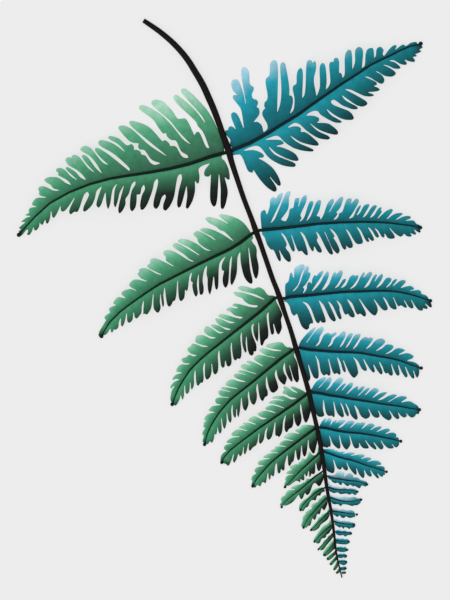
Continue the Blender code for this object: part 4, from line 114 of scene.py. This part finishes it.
# The radius of each midrib where it leaves the rachis, and the line it follows
MIDRIBS = {
    "pinna_left_01": (
        1.9,
        """228,152 210,157 190,164 170,169 150,172.7 130,175.7 110,179 90,184.5 70,192.3 50,203.4 35,217
        25,228 18,236""",
    ),
    "pinna_right_01": (
        1.9,
        """231.5,150.5 240,147.3 250,143.2 260,137.8 270,132.3 280,125.8 290,120 300,113.7 310,106.3 320,99.3
        330,92.4 340,85.4 350,79 360,72.6 370,65.6 380,60.6 390,56 400,50.8 410,46.5 418,44.8 422,43.2""",
    ),
    "pinna_left_02": (
        1.7,
        """254,232.5 251,234.5 240,243 230,249.2 220,254 210,258.8 200,263.7 190,268.8 180,273.8 170,279
        160,284 150,290.3 140,297.2 130,304.3 120,312 110,322 104,331.5 101,337.5""",
    ),
    "pinna_right_02": (
        1.7,
        """257,230.8 260.3,230.3 270,229.4 280,228.6 290,227.4 300,226.3 310,225 320,223.8 330,223.3
        340,222.6 350,222.5 360,222.1 370,222.2 380,222.5 390,223.1 400,224.4 410,225.6 420,227.5
        421.5,228.2""",
    ),
    "pinna_left_03": (
        1.6,
        """279,297 275,298 270,302.7 260,311.8 250,319.7 240,327.6 230,335.3 220,343.4 210,351.2 200,359.7
        190,370 183.3,380 178.2,389 174.5,398 171.8,405.5""",
    ),
    "pinna_right_03": (
        1.6,
        """282,298.5 285,298.3 290,296.9 300,296.1 310,295.3 320,294.2 330,293.3 340,292.3 350,291.7
        360,291.6 370,291.1 380,290.9 390,291.1 400,292.3 410,294.4 420,297.3 427.6,299.9 431.5,301.2""",
    ),
    "pinna_left_04": (
        1.5,
        """296,347 291,351.2 280,359.3 270,367.5 260,375.8 250,384 240,391.8 230,400 220,411.5 214.5,419.5
        210,427.5 207,435 204.3,445.5""",
    ),
    "pinna_right_04": (
        1.5,
        """297,347.5 300,348 310,349.8 320,350.7 330,351.5 340,352 350,352.3 360,352.9 370,354.7 380,356.5
        390,358.2 400,360.6 410,364.5 415.5,366.4 422.3,368.4""",
    ),
    "pinna_left_05": (
        1.4,
        """308,391.5 305,395.7 300,399.3 295,403.3 290,406.7 285,410 280,413.7 275,417 270,420.6 265,424
        260,427.3 255,431 250,434.8 245,438.6 240,442.3 235,446.3 230,450.3 226.3,454.7 223,458.7
        221.5,463.5""",
    ),
    "pinna_right_05": (
        1.4,
        """308.5,391 310,392.1 320,393.3 330,395.4 340,396.8 350,398.8 360,400.2 370,401.8 380,403.5 390,405
        400,406.3 410,408.3 416.7,409.3 420.6,409.8""",
    ),
    "pinna_left_06": (
        1.3,
        """315.5,428.5 313.5,429.5 310,432.2 305,435.8 300,439.6 295,443.4 290,447.2 285,451 280,454.9
        275,459 270,463.4 265,469 260,474.6 256,479.8 253.5,484.8 252.2,487""",
    ),
    "pinna_right_06": (
        1.3,
        """318,427 320,427.5 325,428 330,429 335,430.3 340,431.2 345,432 350,432.5 355,432.9 360,433.2
        365,434 370,434.7 375,435.6 380,436.6 385,437.7 390,438.7 395,439.8 400,441 401.8,441.6""",
    ),
    "pinna_left_07": (
        1.0,
        """320.5,452 319.3,453 315,457 310,461.7 305,466.2 300,471 295,476.3 290,481.8 287,485 284.3,487.6""",
    ),
    "pinna_right_07": (
        1.0,
        """322,450.5 323.5,451 326,452.5 330,453.7 335,455.8 340,457.3 345,458.8 350,459.8 355,461.3 360,463
        365,465 370,466.5 375,468 380,469.7 385,471.3 387.3,472.1""",
    ),
    "pinna_left_08": (
        0.9,
        """323.5,471 321.7,472 320,473 315,476.5 310,480.9 305,485.2 300,489.7 295,493.7 290,497.3 285,502.3
        282.5,505.5 281.2,507.8""",
    ),
    "pinna_right_08": (
        0.9,
        """326,476 328.3,476.5 331,477.5 335,478.5 340,479 345,480 350,480.7 355,481 360,482 364,483.3
        367.8,484.7""",
    ),
    "pinna_left_09": (
        0.85,
        """327,486.7 324.5,487.8 320.3,489.5 315,493 310,497.5 305,502.3 302.5,505.7 301,508.5 300.2,510.8""",
    ),
    "pinna_right_09": (
        0.85,
        """327,486.9 328.5,487.3 331,488 335,489.3 340,489.8 345,489.6 350,490 354,491 358.2,491.8""",
    ),
    "pinna_left_10": (
        0.85,
        """328.8,496.3 326.3,498.2 322,502.5 318,507 314,511.6 310,516 307,520.5 304.5,525 303.2,528.4""",
    ),
    "pinna_right_10": (
        0.85,
        """328.5,496.7 330,497.2 332,498 335,499 338,500 342,501 346,501.6 350,501.6 354,501 358,500.2
        362,499.5""",
    ),
    "pinna_left_11": (
        0.8,
        """331.3,509.5 329,511.8 325.3,515.7 321,519.9 317,523.9 313.5,527.5 310.5,530.6""",
    ),
    "pinna_right_11": (
        0.8,
        """331.3,510.7 333,511 336,511.5 340,512 344,512.7 348,513.2 352,513.7 357.6,514.6""",
    ),
    "pinna_left_12": (
        0.75,
        """333.5,524 331,525.5 328,528 324,531.4 320,535 316.5,539.3 313.9,542.2""",
    ),
    "pinna_right_12": (
        0.75,
        """333,520.8 334.8,521.7 337,522.5 340,523 344,523.7 348,524 352,524.5 354.6,525.2""",
    ),
    "pinna_left_13": (
        0.65,
        """334.3,532.3 332.6,533.9 330,536.4 326,540.6 323,544 320.3,547.2 318,549.9""",
    ),
    "pinna_right_13": (
        0.65,
        """334.5,531.9 336.5,532 339,532.2 343,532.3 347,532.6 351.5,533.2""",
    ),
    "pinna_left_14": (
        0.6,
        """335.2,541 333.8,543.2 332,545.9 330,548.5 328,550.9 324.1,555.6""",
    ),
    "pinna_right_14": (
        0.6,
        """335.2,540.5 336.5,540.7 339,541 343,541.3 347,541.5 349.4,541.8""",
    ),
    "pinna_left_15": (
        0.55,
        """336.3,549.8 335,551.3 333,553.4 330.5,556 327,559.2""",
    ),
    "pinna_right_15": (
        0.55,
        """336,548.2 337.5,548.4 340,548.8 344,549.2 347.6,549.7""",
    ),
    "pinna_left_16": (
        0.55,
        """337.3,555.6 336,557.2 334.5,559.2 332,562 330.4,564.6""",
    ),
    "pinna_right_16": (
        0.55,
        """337.2,555.2 338.7,555.3 341,555.4 344,555.5 346.6,555.6""",
    ),
    "pinna_left_17": (
        0.5,
        """338.2,561.5 337,564 336,566 334.8,568.2 333.8,569.9""",
    ),
    "pinna_right_17": (
        0.5,
        """338,561.2 339.5,561.3 342,561.4 346.7,561.7""",
    ),
    "pinna_left_18": (
        0.45,
        """339.8,567.5 338.6,569.4 337.5,571.2 336.3,573.2""",
    ),
    "pinna_right_18": (
        0.45,
        """339.2,567.6 340.6,567.8 343,568.1 345.8,568.3""",
    ),
    "pinna_right_19": (
        0.4,
        """340.8,572.2 342,572.3 344,572.4 345.8,572.4""",
    ),
}

# How much of a pinna's upper margin is paled toward near white, for the ones that are
PALE = {
    "pinna_right_08": 0.55,
    "pinna_right_09": 0.95,
    "pinna_right_10": 0.95,
    "pinna_right_11": 0.7,
    "pinna_right_12": 0.5,
}


def linear(red, green, blue):
    """A colour on the 0 to 255 scale of a screen as the shader takes it."""
    values = []
    for value in (red, green, blue):
        share = value / 255
        values.append(share / 12.92 if share <= 0.04045 else ((share + 0.055) / 1.055) ** 2.4)
    return (*values, 1.0)


def read_rows(text):
    return np.array([[float(value) for value in token.split(",")] for token in text.split()])


def on_row(rows):
    """Rows that begin with a point of the sheet, with that point in the row frame."""
    moved = rows.copy()
    moved[:, 0] = rows[:, 0] - SHEET_MIDDLE[0]
    moved[:, 1] = SHEET_MIDDLE[1] - rows[:, 1]
    return moved


def curve_through(points, step, closed=False):
    """Points about step apart on a smooth line through the given ones, without the last of them."""
    if closed:
        padded = np.vstack((points[-1:], points, points[:2]))
    else:
        first = 2 * points[:1] - points[1:2]
        last = 2 * points[-1:] - points[-2:-1]
        padded = np.vstack((first, points, last))
    rows = []
    for index in range(1, len(padded) - 2):
        p0, p1, p2, p3 = padded[index - 1:index + 3]
        spans = [max(np.linalg.norm((b - a)[:2]), 1e-3) for a, b in ((p0, p1), (p1, p2), (p2, p3))]
        k0, k1, k2, k3 = np.cumsum([0.0] + [span ** 0.5 for span in spans])
        count = max(1, round(spans[1] / step))
        t = (k1 + (k2 - k1) * np.arange(count) / count)[:, None]
        a1 = ((k1 - t) * p0 + (t - k0) * p1) / (k1 - k0)
        a2 = ((k2 - t) * p1 + (t - k1) * p2) / (k2 - k1)
        a3 = ((k3 - t) * p2 + (t - k2) * p3) / (k3 - k2)
        b1 = ((k2 - t) * a1 + (t - k0) * a2) / (k2 - k0)
        b2 = ((k3 - t) * a2 + (t - k1) * a3) / (k3 - k1)
        rows.append(((k2 - t) * b1 + (t - k1) * b2) / (k2 - k1))
    return np.vstack(rows)


class Midrib:
    """A pinna's middle line, and how its blade lies about it."""

    def __init__(self, name, radius, text):
        self.points = on_row(read_rows(text))
        self.radius = radius
        steps = np.linalg.norm(np.diff(self.points, axis=0), axis=1)
        self.reach = np.concatenate(([0.0], np.cumsum(steps)))
        self.length = self.reach[-1]
        self.turn = -1 if "left" in name else 1

    def find(self, places):
        """Each place's share of the way along, its distance off, and 1 on the upper side or -1 below."""
        best = np.full(len(places), 1e9)
        share = np.zeros(len(places))
        side = np.zeros(len(places))
        for a, b, start in zip(self.points, self.points[1:], self.reach):
            span = b - a
            along = np.clip((places - a) @ span / (span @ span), 0, 1)
            offset = places - a - along[:, None] * span
            distance = np.linalg.norm(offset, axis=1)
            near = distance < best
            best = np.where(near, distance, best)
            share = np.where(near, (start + along * np.linalg.norm(span)) / self.length, share)
            cross = span[0] * offset[:, 1] - span[1] * offset[:, 0]
            side = np.where(near, np.sign(cross) * self.turn, side)
        return share, best, side

    def height(self, share, distance):
        """The blade's underside above the surface."""
        ridge = ARCH_AT_RACHIS * (1 - share) + ARCH_SHARE * self.length * np.sin(np.pi * share)
        return np.maximum(0.0, ridge - DROOP_PER_MM * distance ** 2)

    def place(self, share):
        """The point of the line at a share of its length."""
        reach = np.asarray(share) * self.length
        x = np.interp(reach, self.reach, self.points[:, 0])
        y = np.interp(reach, self.reach, self.points[:, 1])
        return np.column_stack((np.atleast_1d(x), np.atleast_1d(y)))


def rim_loops(node):
    """The rims of a blade's upper face, each with the blade on its left."""
    mesh = node.data
    keys = {}
    index = []
    for vertex in mesh.vertices:
        key = tuple(round(value / MM, 3) for value in vertex.co)
        index.append(keys.setdefault(key, len(keys)))
    places = np.array(list(keys))[:, :2]
    edges = set()
    for polygon in mesh.polygons:
        if polygon.normal.z < UP_FACING:
            continue
        corners = [index[corner] for corner in polygon.vertices]
        edges |= set(zip(corners, corners[1:] + corners[:1]))
    after = {a: b for a, b in edges if (b, a) not in edges}
    loops = []
    while after:
        start, following = after.popitem()
        loop = [start]
        while following != start:
            loop.append(following)
            following = after.pop(following, start)
        if len(loop) > 4:
            loops.append(places[loop])
    return loops


def soften(loop):
    """The rim with round lobes, and with the feet of its clefts kept sharp."""
    before = loop - np.roll(loop, 1, axis=0)
    ahead = np.roll(loop, -1, axis=0) - loop
    cross = before[:, 0] * ahead[:, 1] - before[:, 1] * ahead[:, 0]
    turn = np.degrees(np.arctan2(cross, (before * ahead).sum(axis=1)))
    corners = np.flatnonzero(turn < -CLEFT_TURN)
    if len(corners) < 2:
        return curve_through(loop, EDGE_STEP, closed=True)
    pieces = []
    for first, last in zip(corners, np.append(corners[1:], corners[0] + len(loop))):
        pieces.append(curve_through(loop[np.arange(first, last + 1) % len(loop)], EDGE_STEP))
    return np.vstack(pieces)


def rachis_room(places):
    """How far each place is from the side of the rachis."""
    rows = on_row(read_rows(RACHIS))
    room = np.full(len(places), 1e9)
    for a, b in zip(rows, rows[1:]):
        span = (b - a)[:2]
        along = np.clip((places - a[:2]) @ span / (span @ span), 0, 1)
        width = a[2] + (b[2] - a[2]) * along
        off = np.linalg.norm(places - a[:2] - along[:, None] * span, axis=1)
        room = np.minimum(room, off - width / 2)
    return room


def draw_in(loop, amount):
    """The rim moved into its blade, which opens the clefts, and out beside the rachis."""
    ahead = np.roll(loop, -1, axis=0) - np.roll(loop, 1, axis=0)
    ahead /= np.maximum(np.linalg.norm(ahead, axis=1), 1e-6)[:, None]
    clear = np.clip(rachis_room(loop) / RACHIS_ROOM, 0, 1) ** 2
    moved = amount * clear - RACHIS_OVERLAP * (1 - clear)
    return loop + moved[:, None] * np.column_stack((-ahead[:, 1], ahead[:, 0]))


def inside(places, loops):
    """Which places the loops go round."""
    turns = np.zeros(len(places), int)
    x, y = places[:, 0], places[:, 1]
    for loop in loops:
        for a, b in zip(loop, np.roll(loop, -1, axis=0)):
            side = (b[0] - a[0]) * (y - a[1]) - (b[1] - a[1]) * (x - a[0])
            turns += (a[1] <= y) & (y < b[1]) & (side > 0)
            turns -= (b[1] <= y) & (y < a[1]) & (side < 0)
    return turns > 0


def fill(loops, spacing):
    """Fine triangles inside the loops."""
    rim = np.vstack(loops)
    low, high = rim.min(axis=0), rim.max(axis=0)
    across = np.arange(low[0], high[0], spacing)
    rows = []
    for row, y in enumerate(np.arange(low[1], high[1], spacing * ROW_SHARE)):
        rows.append(np.column_stack((across + spacing / 2 * (row % 2), np.full(len(across), y))))
    grid = np.vstack(rows)
    grid = grid[inside(grid, loops)]
    edges = []
    start = 0
    for loop in loops:
        count = len(loop)
        edges += [(start + i, start + (i + 1) % count) for i in range(count)]
        start += count
    points = [Vector(point) for point in np.vstack((rim, grid))]
    found, _, faces, *_ = delaunay_2d_cdt(points, edges, [], 0, WELD, False)
    places = np.array([tuple(point) for point in found])
    faces = np.array([face for face in faces if len(face) == 3])
    return places, faces[inside(places[faces].mean(axis=1), loops)]


def envelope(share, distance, bins=18):
    """How far the blade reaches from its midrib, at any share of its length."""
    far = np.zeros(bins)
    for index in range(bins):
        here = (share * bins >= index - 1) & (share * bins < index + 2)
        far[index] = distance[here].max() if here.any() else 1.0
    far = np.convolve(np.pad(far, 1, mode="edge"), (0.25, 0.5, 0.25), mode="valid")
    middles = (np.arange(bins) + 0.5) / bins
    return lambda where: np.maximum(np.interp(where, middles, far), 0.5)


def vein_distance(midrib, places, side, loops):
    """Each place's distance from the middle vein of the nearest lobe on its own side."""
    nearest = np.full(len(places), 99.0)
    for loop in loops:
        share, distance, loop_side = midrib.find(loop)
        for index in range(len(loop)):
            about = np.arange(index - LOBE_WINDOW, index + LOBE_WINDOW + 1) % len(loop)
            if distance[index] < distance[about].max() or distance[index] < LEAST_LOBE:
                continue
            foot_share = max(0.0, share[index] - VEIN_SLANT * distance[index] / midrib.length)
            foot = midrib.place(foot_share)[0]
            span = loop[index] - foot
            along = np.clip((places - foot) @ span / (span @ span), 0, VEIN_END)
            off = np.linalg.norm(places - foot - along[:, None] * span, axis=1)
            nearest = np.where(side == loop_side[index], np.minimum(nearest, off), nearest)
    return nearest


def add_object(name, vertices, faces):
    mesh = bpy.data.meshes.new(name)
    mesh.from_pydata([tuple(corner) for corner in np.asarray(vertices) * MM], [], faces)
    mesh.update()
    for polygon in mesh.polygons:
        polygon.use_smooth = True
    thing = bpy.data.objects.new(name, mesh)
    bpy.context.scene.collection.objects.link(thing)
    return thing


def add_values(mesh, name, values):
    attribute = mesh.attributes.new(name, "FLOAT", "POINT")
    attribute.data.foreach_set("value", np.asarray(values, np.float32))


def make_blade(name, midrib, material):
    """The fine blade that stands for one pinna's solid."""
    inset = min(RIM_INSET, RIM_INSET_SHARE * midrib.length)
    loops = [draw_in(soften(loop), inset) for loop in rim_loops(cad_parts[name])]
    spacing = min(COARSEST_SPACING, max(FINEST_SPACING, midrib.length / SPACINGS_ALONG))
    places, faces = fill(loops, spacing)
    used, flat = np.unique(faces, return_inverse=True)
    places, faces = places[used], flat.reshape(-1, 3)
    corners = places[faces]
    first, second = corners[:, 1] - corners[:, 0], corners[:, 2] - corners[:, 0]
    turned = first[:, 0] * second[:, 1] - first[:, 1] * second[:, 0] < 0
    faces[turned] = faces[turned][:, ::-1]

    share, distance, side = midrib.find(places)
    rim_share, rim_distance, rim_side = midrib.find(np.vstack(loops))
    reach = np.zeros(len(places))
    for which in (1, -1):
        limit = envelope(rim_share[rim_side == which], rim_distance[rim_side == which])
        reach = np.where(side == which, distance / limit(share), reach)
    off_vein = vein_distance(midrib, places, side, loops)
    vein = np.exp(-(off_vein / VEIN_WIDTH) ** 2)
    puff = 1 - np.exp(-(off_vein / PUFF_WIDTH) ** 2)
    swell = PUFF * puff * (1 - reach.clip(0, 1) ** 4)
    top = midrib.height(share, distance) + BLADE_TOP - VEIN_DEPTH * vein + swell

    count = len(places)
    over = np.column_stack((places, top))
    under = np.column_stack((places, np.maximum(top - BLADE_THICKNESS, LEAST_UNDERSIDE)))
    edges = set()
    for a, b, c in faces.tolist():
        edges |= {(a, b), (b, c), (c, a)}
    quads = [(b, a, a + count, b + count) for a, b in edges if (b, a) not in edges]
    solid = faces.tolist() + (faces[:, ::-1] + count).tolist() + quads
    blade = add_object(name + "_leaf", np.vstack((over, under)), solid)
    add_values(blade.data, "reach", np.tile(reach.clip(0, 1), 2))
    add_values(blade.data, "along", np.tile(share, 2))
    add_values(blade.data, "upper", np.tile((side > 0).astype(float), 2))
    add_values(blade.data, "vein", np.tile(vein, 2))
    pale = PALE.get(name, 0.0) * np.clip(1.15 - 1.2 * share, 0, 1) * (side > 0) * reach.clip(0, 1) ** 0.8
    add_values(blade.data, "pale", np.tile(pale, 2))
    blade.data.materials.append(material)
    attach(blade, "root")
    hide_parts(name)
    return blade


def tube(rows, sides, groove):
    """Rings of corners round a line of x, y, z and radius, with a groove along its top, and their faces."""
    centre = rows[:, :3]
    tangent = np.gradient(centre, axis=0)
    tangent /= np.linalg.norm(tangent, axis=1)[:, None]
    side = np.cross(tangent, (0, 0, 1))
    side /= np.linalg.norm(side, axis=1)[:, None]
    up = np.cross(side, tangent)
    angle = np.linspace(0, 2 * np.pi, sides, endpoint=False)
    size = 1 - groove * np.exp(-((angle - np.pi / 2) / GROOVE_WIDTH) ** 2)
    spokes = np.cos(angle)[None, :, None] * side[:, None] + np.sin(angle)[None, :, None] * up[:, None]
    corners = centre[:, None] + rows[:, 3, None, None] * size[None, :, None] * spokes
    faces = [tuple(range(sides)), tuple(range(len(rows) * sides - 1, (len(rows) - 1) * sides - 1, -1))]
    for ring in range(len(rows) - 1):
        for spoke in range(sides):
            a = ring * sides + spoke
            b = ring * sides + (spoke + 1) % sides
            faces.append((b, a, a + sides, b + sides))
    return corners.reshape(-1, 3), faces


def midrib_rows(midrib):
    """x, y, z and radius along a midrib, with the knob at its tip."""
    knob = KNOB_LEAST + midrib.radius * KNOB_SHARE
    tip = midrib.radius * (1 - MIDRIB_TAPER)
    body = np.linspace(0, 1 - 2.4 * knob / midrib.length, max(8, int(midrib.length / MIDRIB_STEP)))
    radii = list(midrib.radius * (1 - MIDRIB_TAPER * body))
    shares = list(body)
    profile = [
        (1.9, tip * 1.05),
        (1.4, 0.75 * knob),
        (0.9, knob),
        (0.4, knob),
        (0.12, 0.75 * knob),
        (0, 0.4 * knob),
    ]
    for back, radius in profile:
        shares.append(1 - back * knob / midrib.length)
        radii.append(radius)
    shares, radii = np.array(shares), np.array(radii)
    z = midrib.height(shares, 0.0) + BLADE_TOP + MIDRIB_SINK * radii
    return np.column_stack((midrib.place(shares), z, radii))


def make_stem(midribs, materials):
    """The rachis and every midrib, which stand for the stem's solid."""
    rows = on_row(read_rows(RACHIS))
    radius = rows[:, 2] / 2
    middle = np.maximum(RACHIS_PRESS * radius, RACHIS_LOWEST_CENTRE)
    line = curve_through(np.column_stack((rows[:, :2], middle, radius)), RACHIS_STEP)
    corners, faces = tube(line, RACHIS_SIDES, RACHIS_GROOVE)
    corners[:, 2] = np.maximum(corners[:, 2], 0.0)
    vertices = [corners]
    kinds = [0] * len(faces)
    start = len(corners)
    for name, midrib in midribs.items():
        corners, more = tube(midrib_rows(midrib), MIDRIB_SIDES, MIDRIB_GROOVE)
        corners[:, 2] = np.maximum(corners[:, 2], 0.0)
        vertices.append(corners)
        faces += [tuple(corner + start for corner in face) for face in more]
        kinds += [1 if "left" in name else 2] * len(more)
        start += len(corners)
    stem = add_object("stem_with_midribs", np.vstack(vertices), faces)
    for material in materials:
        stem.data.materials.append(material)
    stem.data.polygons.foreach_set("material_index", kinds)
    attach(stem, "root")
    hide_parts("rachis_and_midribs")
    return stem


class Shader:
    """A material's nodes, added and joined by short calls."""

    def __init__(self, name, roughness):
        self.material = bpy.data.materials.new(name)
        self.material.use_nodes = True
        self.tree = self.material.node_tree
        self.surface = self.tree.nodes["Principled BSDF"]
        self.surface.inputs["Roughness"].default_value = roughness

    def add(self, kind, **settings):
        node = self.tree.nodes.new(kind)
        for key, value in settings.items():
            setattr(node, key, value)
        return node

    def join(self, source, target):
        self.tree.links.new(source, target)

    def value(self, name):
        return self.add("ShaderNodeAttribute", attribute_name=name).outputs["Fac"]

    def ramp(self, factor, stops):
        node = self.add("ShaderNodeValToRGB")
        elements = node.color_ramp.elements
        elements[0].position, elements[0].color = stops[0]
        elements[1].position, elements[1].color = stops[-1]
        for position, colour in stops[1:-1]:
            elements.new(position).color = colour
        self.join(factor, node.inputs["Fac"])
        return node.outputs["Color"]

    def mix(self, factor, first, second, blend="MIX"):
        node = self.add("ShaderNodeMix", data_type="RGBA", blend_type=blend)
        for socket, value in ((node.inputs[0], factor), (node.inputs[6], first), (node.inputs[7], second)):
            if isinstance(value, bpy.types.NodeSocket):
                self.join(value, socket)
            else:
                socket.default_value = value
        return node.outputs[2]

    def scaled(self, value, factor):
        node = self.add("ShaderNodeMath", operation="MULTIPLY", use_clamp=True)
        self.join(value, node.inputs[0])
        node.inputs[1].default_value = factor
        return node.outputs[0]

    def noise(self, scale, detail):
        place = self.add("ShaderNodeTexCoord").outputs["Object"]
        node = self.add("ShaderNodeTexNoise")
        node.inputs["Scale"].default_value = scale
        node.inputs["Detail"].default_value = detail
        self.join(place, node.inputs["Vector"])
        return node.outputs["Fac"]

    def bump(self, height, strength, distance):
        node = self.add("ShaderNodeBump")
        node.inputs["Strength"].default_value = strength
        node.inputs["Distance"].default_value = distance
        self.join(height, node.inputs["Height"])
        self.join(node.outputs["Normal"], self.surface.inputs["Normal"])


def leaf_material(name, upper, lower, vein, pale):
    """A leaf's colours by how far a place is from the midrib and along it, with mottling and veins.

    The upper and the lower side each have colours for the end by the stem and for the tip.
    """
    shader = Shader(name, 0.6)
    reach = shader.value("reach")
    along = shader.value("along")
    outward = shader.ramp(along, [(0.3, (0, 0, 0, 1)), (0.95, (1, 1, 1, 1))])
    above = shader.mix(outward, shader.ramp(reach, upper[0]), shader.ramp(reach, upper[1]))
    below = shader.mix(outward, shader.ramp(reach, lower[0]), shader.ramp(reach, lower[1]))
    colour = shader.mix(shader.value("upper"), below, above)
    end = shader.ramp(along, [(0.94, (0, 0, 0, 1)), (1.0, (0.9, 0.9, 0.9, 1))])
    colour = shader.mix(end, colour, linear(8, 10, 9))
    colour = shader.mix(shader.value("pale"), colour, pale)
    colour = shader.mix(shader.scaled(shader.value("vein"), 0.12), colour, vein)
    mottle = shader.ramp(shader.noise(160, 4), [(0.3, (0.88, 0.88, 0.88, 1)), (0.7, (1.1, 1.1, 1.1, 1))])
    colour = shader.mix(1.0, colour, mottle, "MULTIPLY")
    shader.join(colour, shader.surface.inputs["Base Color"])
    shader.surface.inputs["Specular IOR Level"].default_value = 0.12
    shader.bump(shader.noise(1400, 3), 0.25, 0.0002)
    return shader.material


def stem_material(name, dark, light):
    """The dull dark skin of the stem, with fine streaks."""
    shader = Shader(name, 0.5)
    streaks = shader.ramp(shader.noise(900, 5), [(0.35, dark), (0.75, light)])
    shader.join(streaks, shader.surface.inputs["Base Color"])
    shader.surface.inputs["Specular IOR Level"].default_value = 0.08
    shader.bump(shader.noise(1800, 4), 0.35, 0.0002)
    return shader.material


def make_stage():
    """A pale floor that gives off part of its light, soft light and the camera straight above."""
    reach = FLOOR_REACH
    corners = [(-reach, -reach), (reach, -reach), (reach, reach), (-reach, reach)]
    floor = add_object("floor", [(x, y, -FLOOR_DROP) for x, y in corners], [(0, 1, 2, 3)])
    shader = Shader("pale_floor", 0.9)
    shader.surface.inputs["Base Color"].default_value = linear(118, 118, 118)
    shader.surface.inputs["Emission Color"].default_value = linear(238, 238, 238)
    shader.surface.inputs["Emission Strength"].default_value = 0.78
    shader.surface.inputs["Specular IOR Level"].default_value = 0.0
    floor.data.materials.append(shader.material)

    world = bpy.data.worlds.new("soft_world")
    world.use_nodes = True
    world.node_tree.nodes["Background"].inputs["Color"].default_value = (1, 1, 1, 1)
    world.node_tree.nodes["Background"].inputs["Strength"].default_value = 0.75
    bpy.context.scene.world = world
    sun = bpy.data.lights.new("soft_key", "SUN")
    sun.energy = 0.9
    sun.angle = 1.1
    lamp = bpy.data.objects.new("soft_key", sun)
    lamp.rotation_euler = (math.radians(24), math.radians(-20), 0)
    bpy.context.scene.collection.objects.link(lamp)

    lens = bpy.data.cameras.new("camera")
    lens.type = "PERSP"
    lens.sensor_width = SENSOR
    lens.lens = SENSOR * CAMERA_DISTANCE / (FRAME_HEIGHT * MM)
    lens.clip_end = 50
    camera = bpy.data.objects.new("camera", lens)
    camera.location = (
        (FRAME_MIDDLE[0] - SHEET_MIDDLE[0]) * MM,
        (SHEET_MIDDLE[1] - FRAME_MIDDLE[1]) * MM,
        CAMERA_DISTANCE,
    )
    bpy.context.scene.collection.objects.link(camera)
    bpy.context.scene.camera = camera
    bpy.context.scene.view_settings.view_transform = "Standard"


green = leaf_material(
    "green_leaf",
    (
        [
            (0.0, linear(48, 90, 68)),
            (0.3, linear(62, 130, 96)),
            (0.6, linear(86, 170, 130)),
            (0.9, linear(168, 216, 190)),
        ],
        [(0.0, linear(46, 108, 78)), (0.4, linear(66, 150, 110)), (0.9, linear(128, 188, 156))],
    ),
    (
        [
            (0.0, linear(76, 158, 118)),
            (0.3, linear(44, 98, 70)),
            (0.55, linear(20, 34, 28)),
            (0.85, linear(4, 4, 4)),
        ],
        [(0.0, linear(70, 156, 112)), (0.45, linear(56, 128, 92)), (0.9, linear(20, 52, 36))],
    ),
    linear(36, 78, 58),
    linear(215, 235, 222),
)
teal = leaf_material(
    "teal_leaf",
    (
        [
            (0.0, linear(8, 84, 94)),
            (0.3, linear(12, 118, 130)),
            (0.65, linear(34, 158, 178)),
            (1.0, linear(176, 218, 234)),
        ],
        [(0.0, linear(8, 90, 98)), (0.5, linear(14, 128, 138)), (1.0, linear(30, 132, 142))],
    ),
    (
        [
            (0.0, linear(26, 158, 174)),
            (0.4, linear(12, 112, 122)),
            (0.7, linear(6, 74, 80)),
            (0.95, linear(3, 40, 44)),
        ],
        [(0.0, linear(14, 124, 134)), (0.5, linear(10, 98, 104)), (0.95, linear(4, 62, 66))],
    ),
    linear(14, 84, 94),
    linear(226, 240, 247),
)
stem_finishes = [
    stem_material("rachis_skin", linear(10, 9, 8), linear(24, 21, 18)),
    stem_material("green_midrib_skin", linear(6, 20, 13), linear(14, 38, 26)),
    stem_material("teal_midrib_skin", linear(4, 24, 30), linear(10, 44, 52)),
]
midribs = {name: Midrib(name, radius, text) for name, (radius, text) in MIDRIBS.items()}
for name, midrib in midribs.items():
    make_blade(name, midrib, green if "left" in name else teal)
make_stem(midribs, stem_finishes)
make_stage()
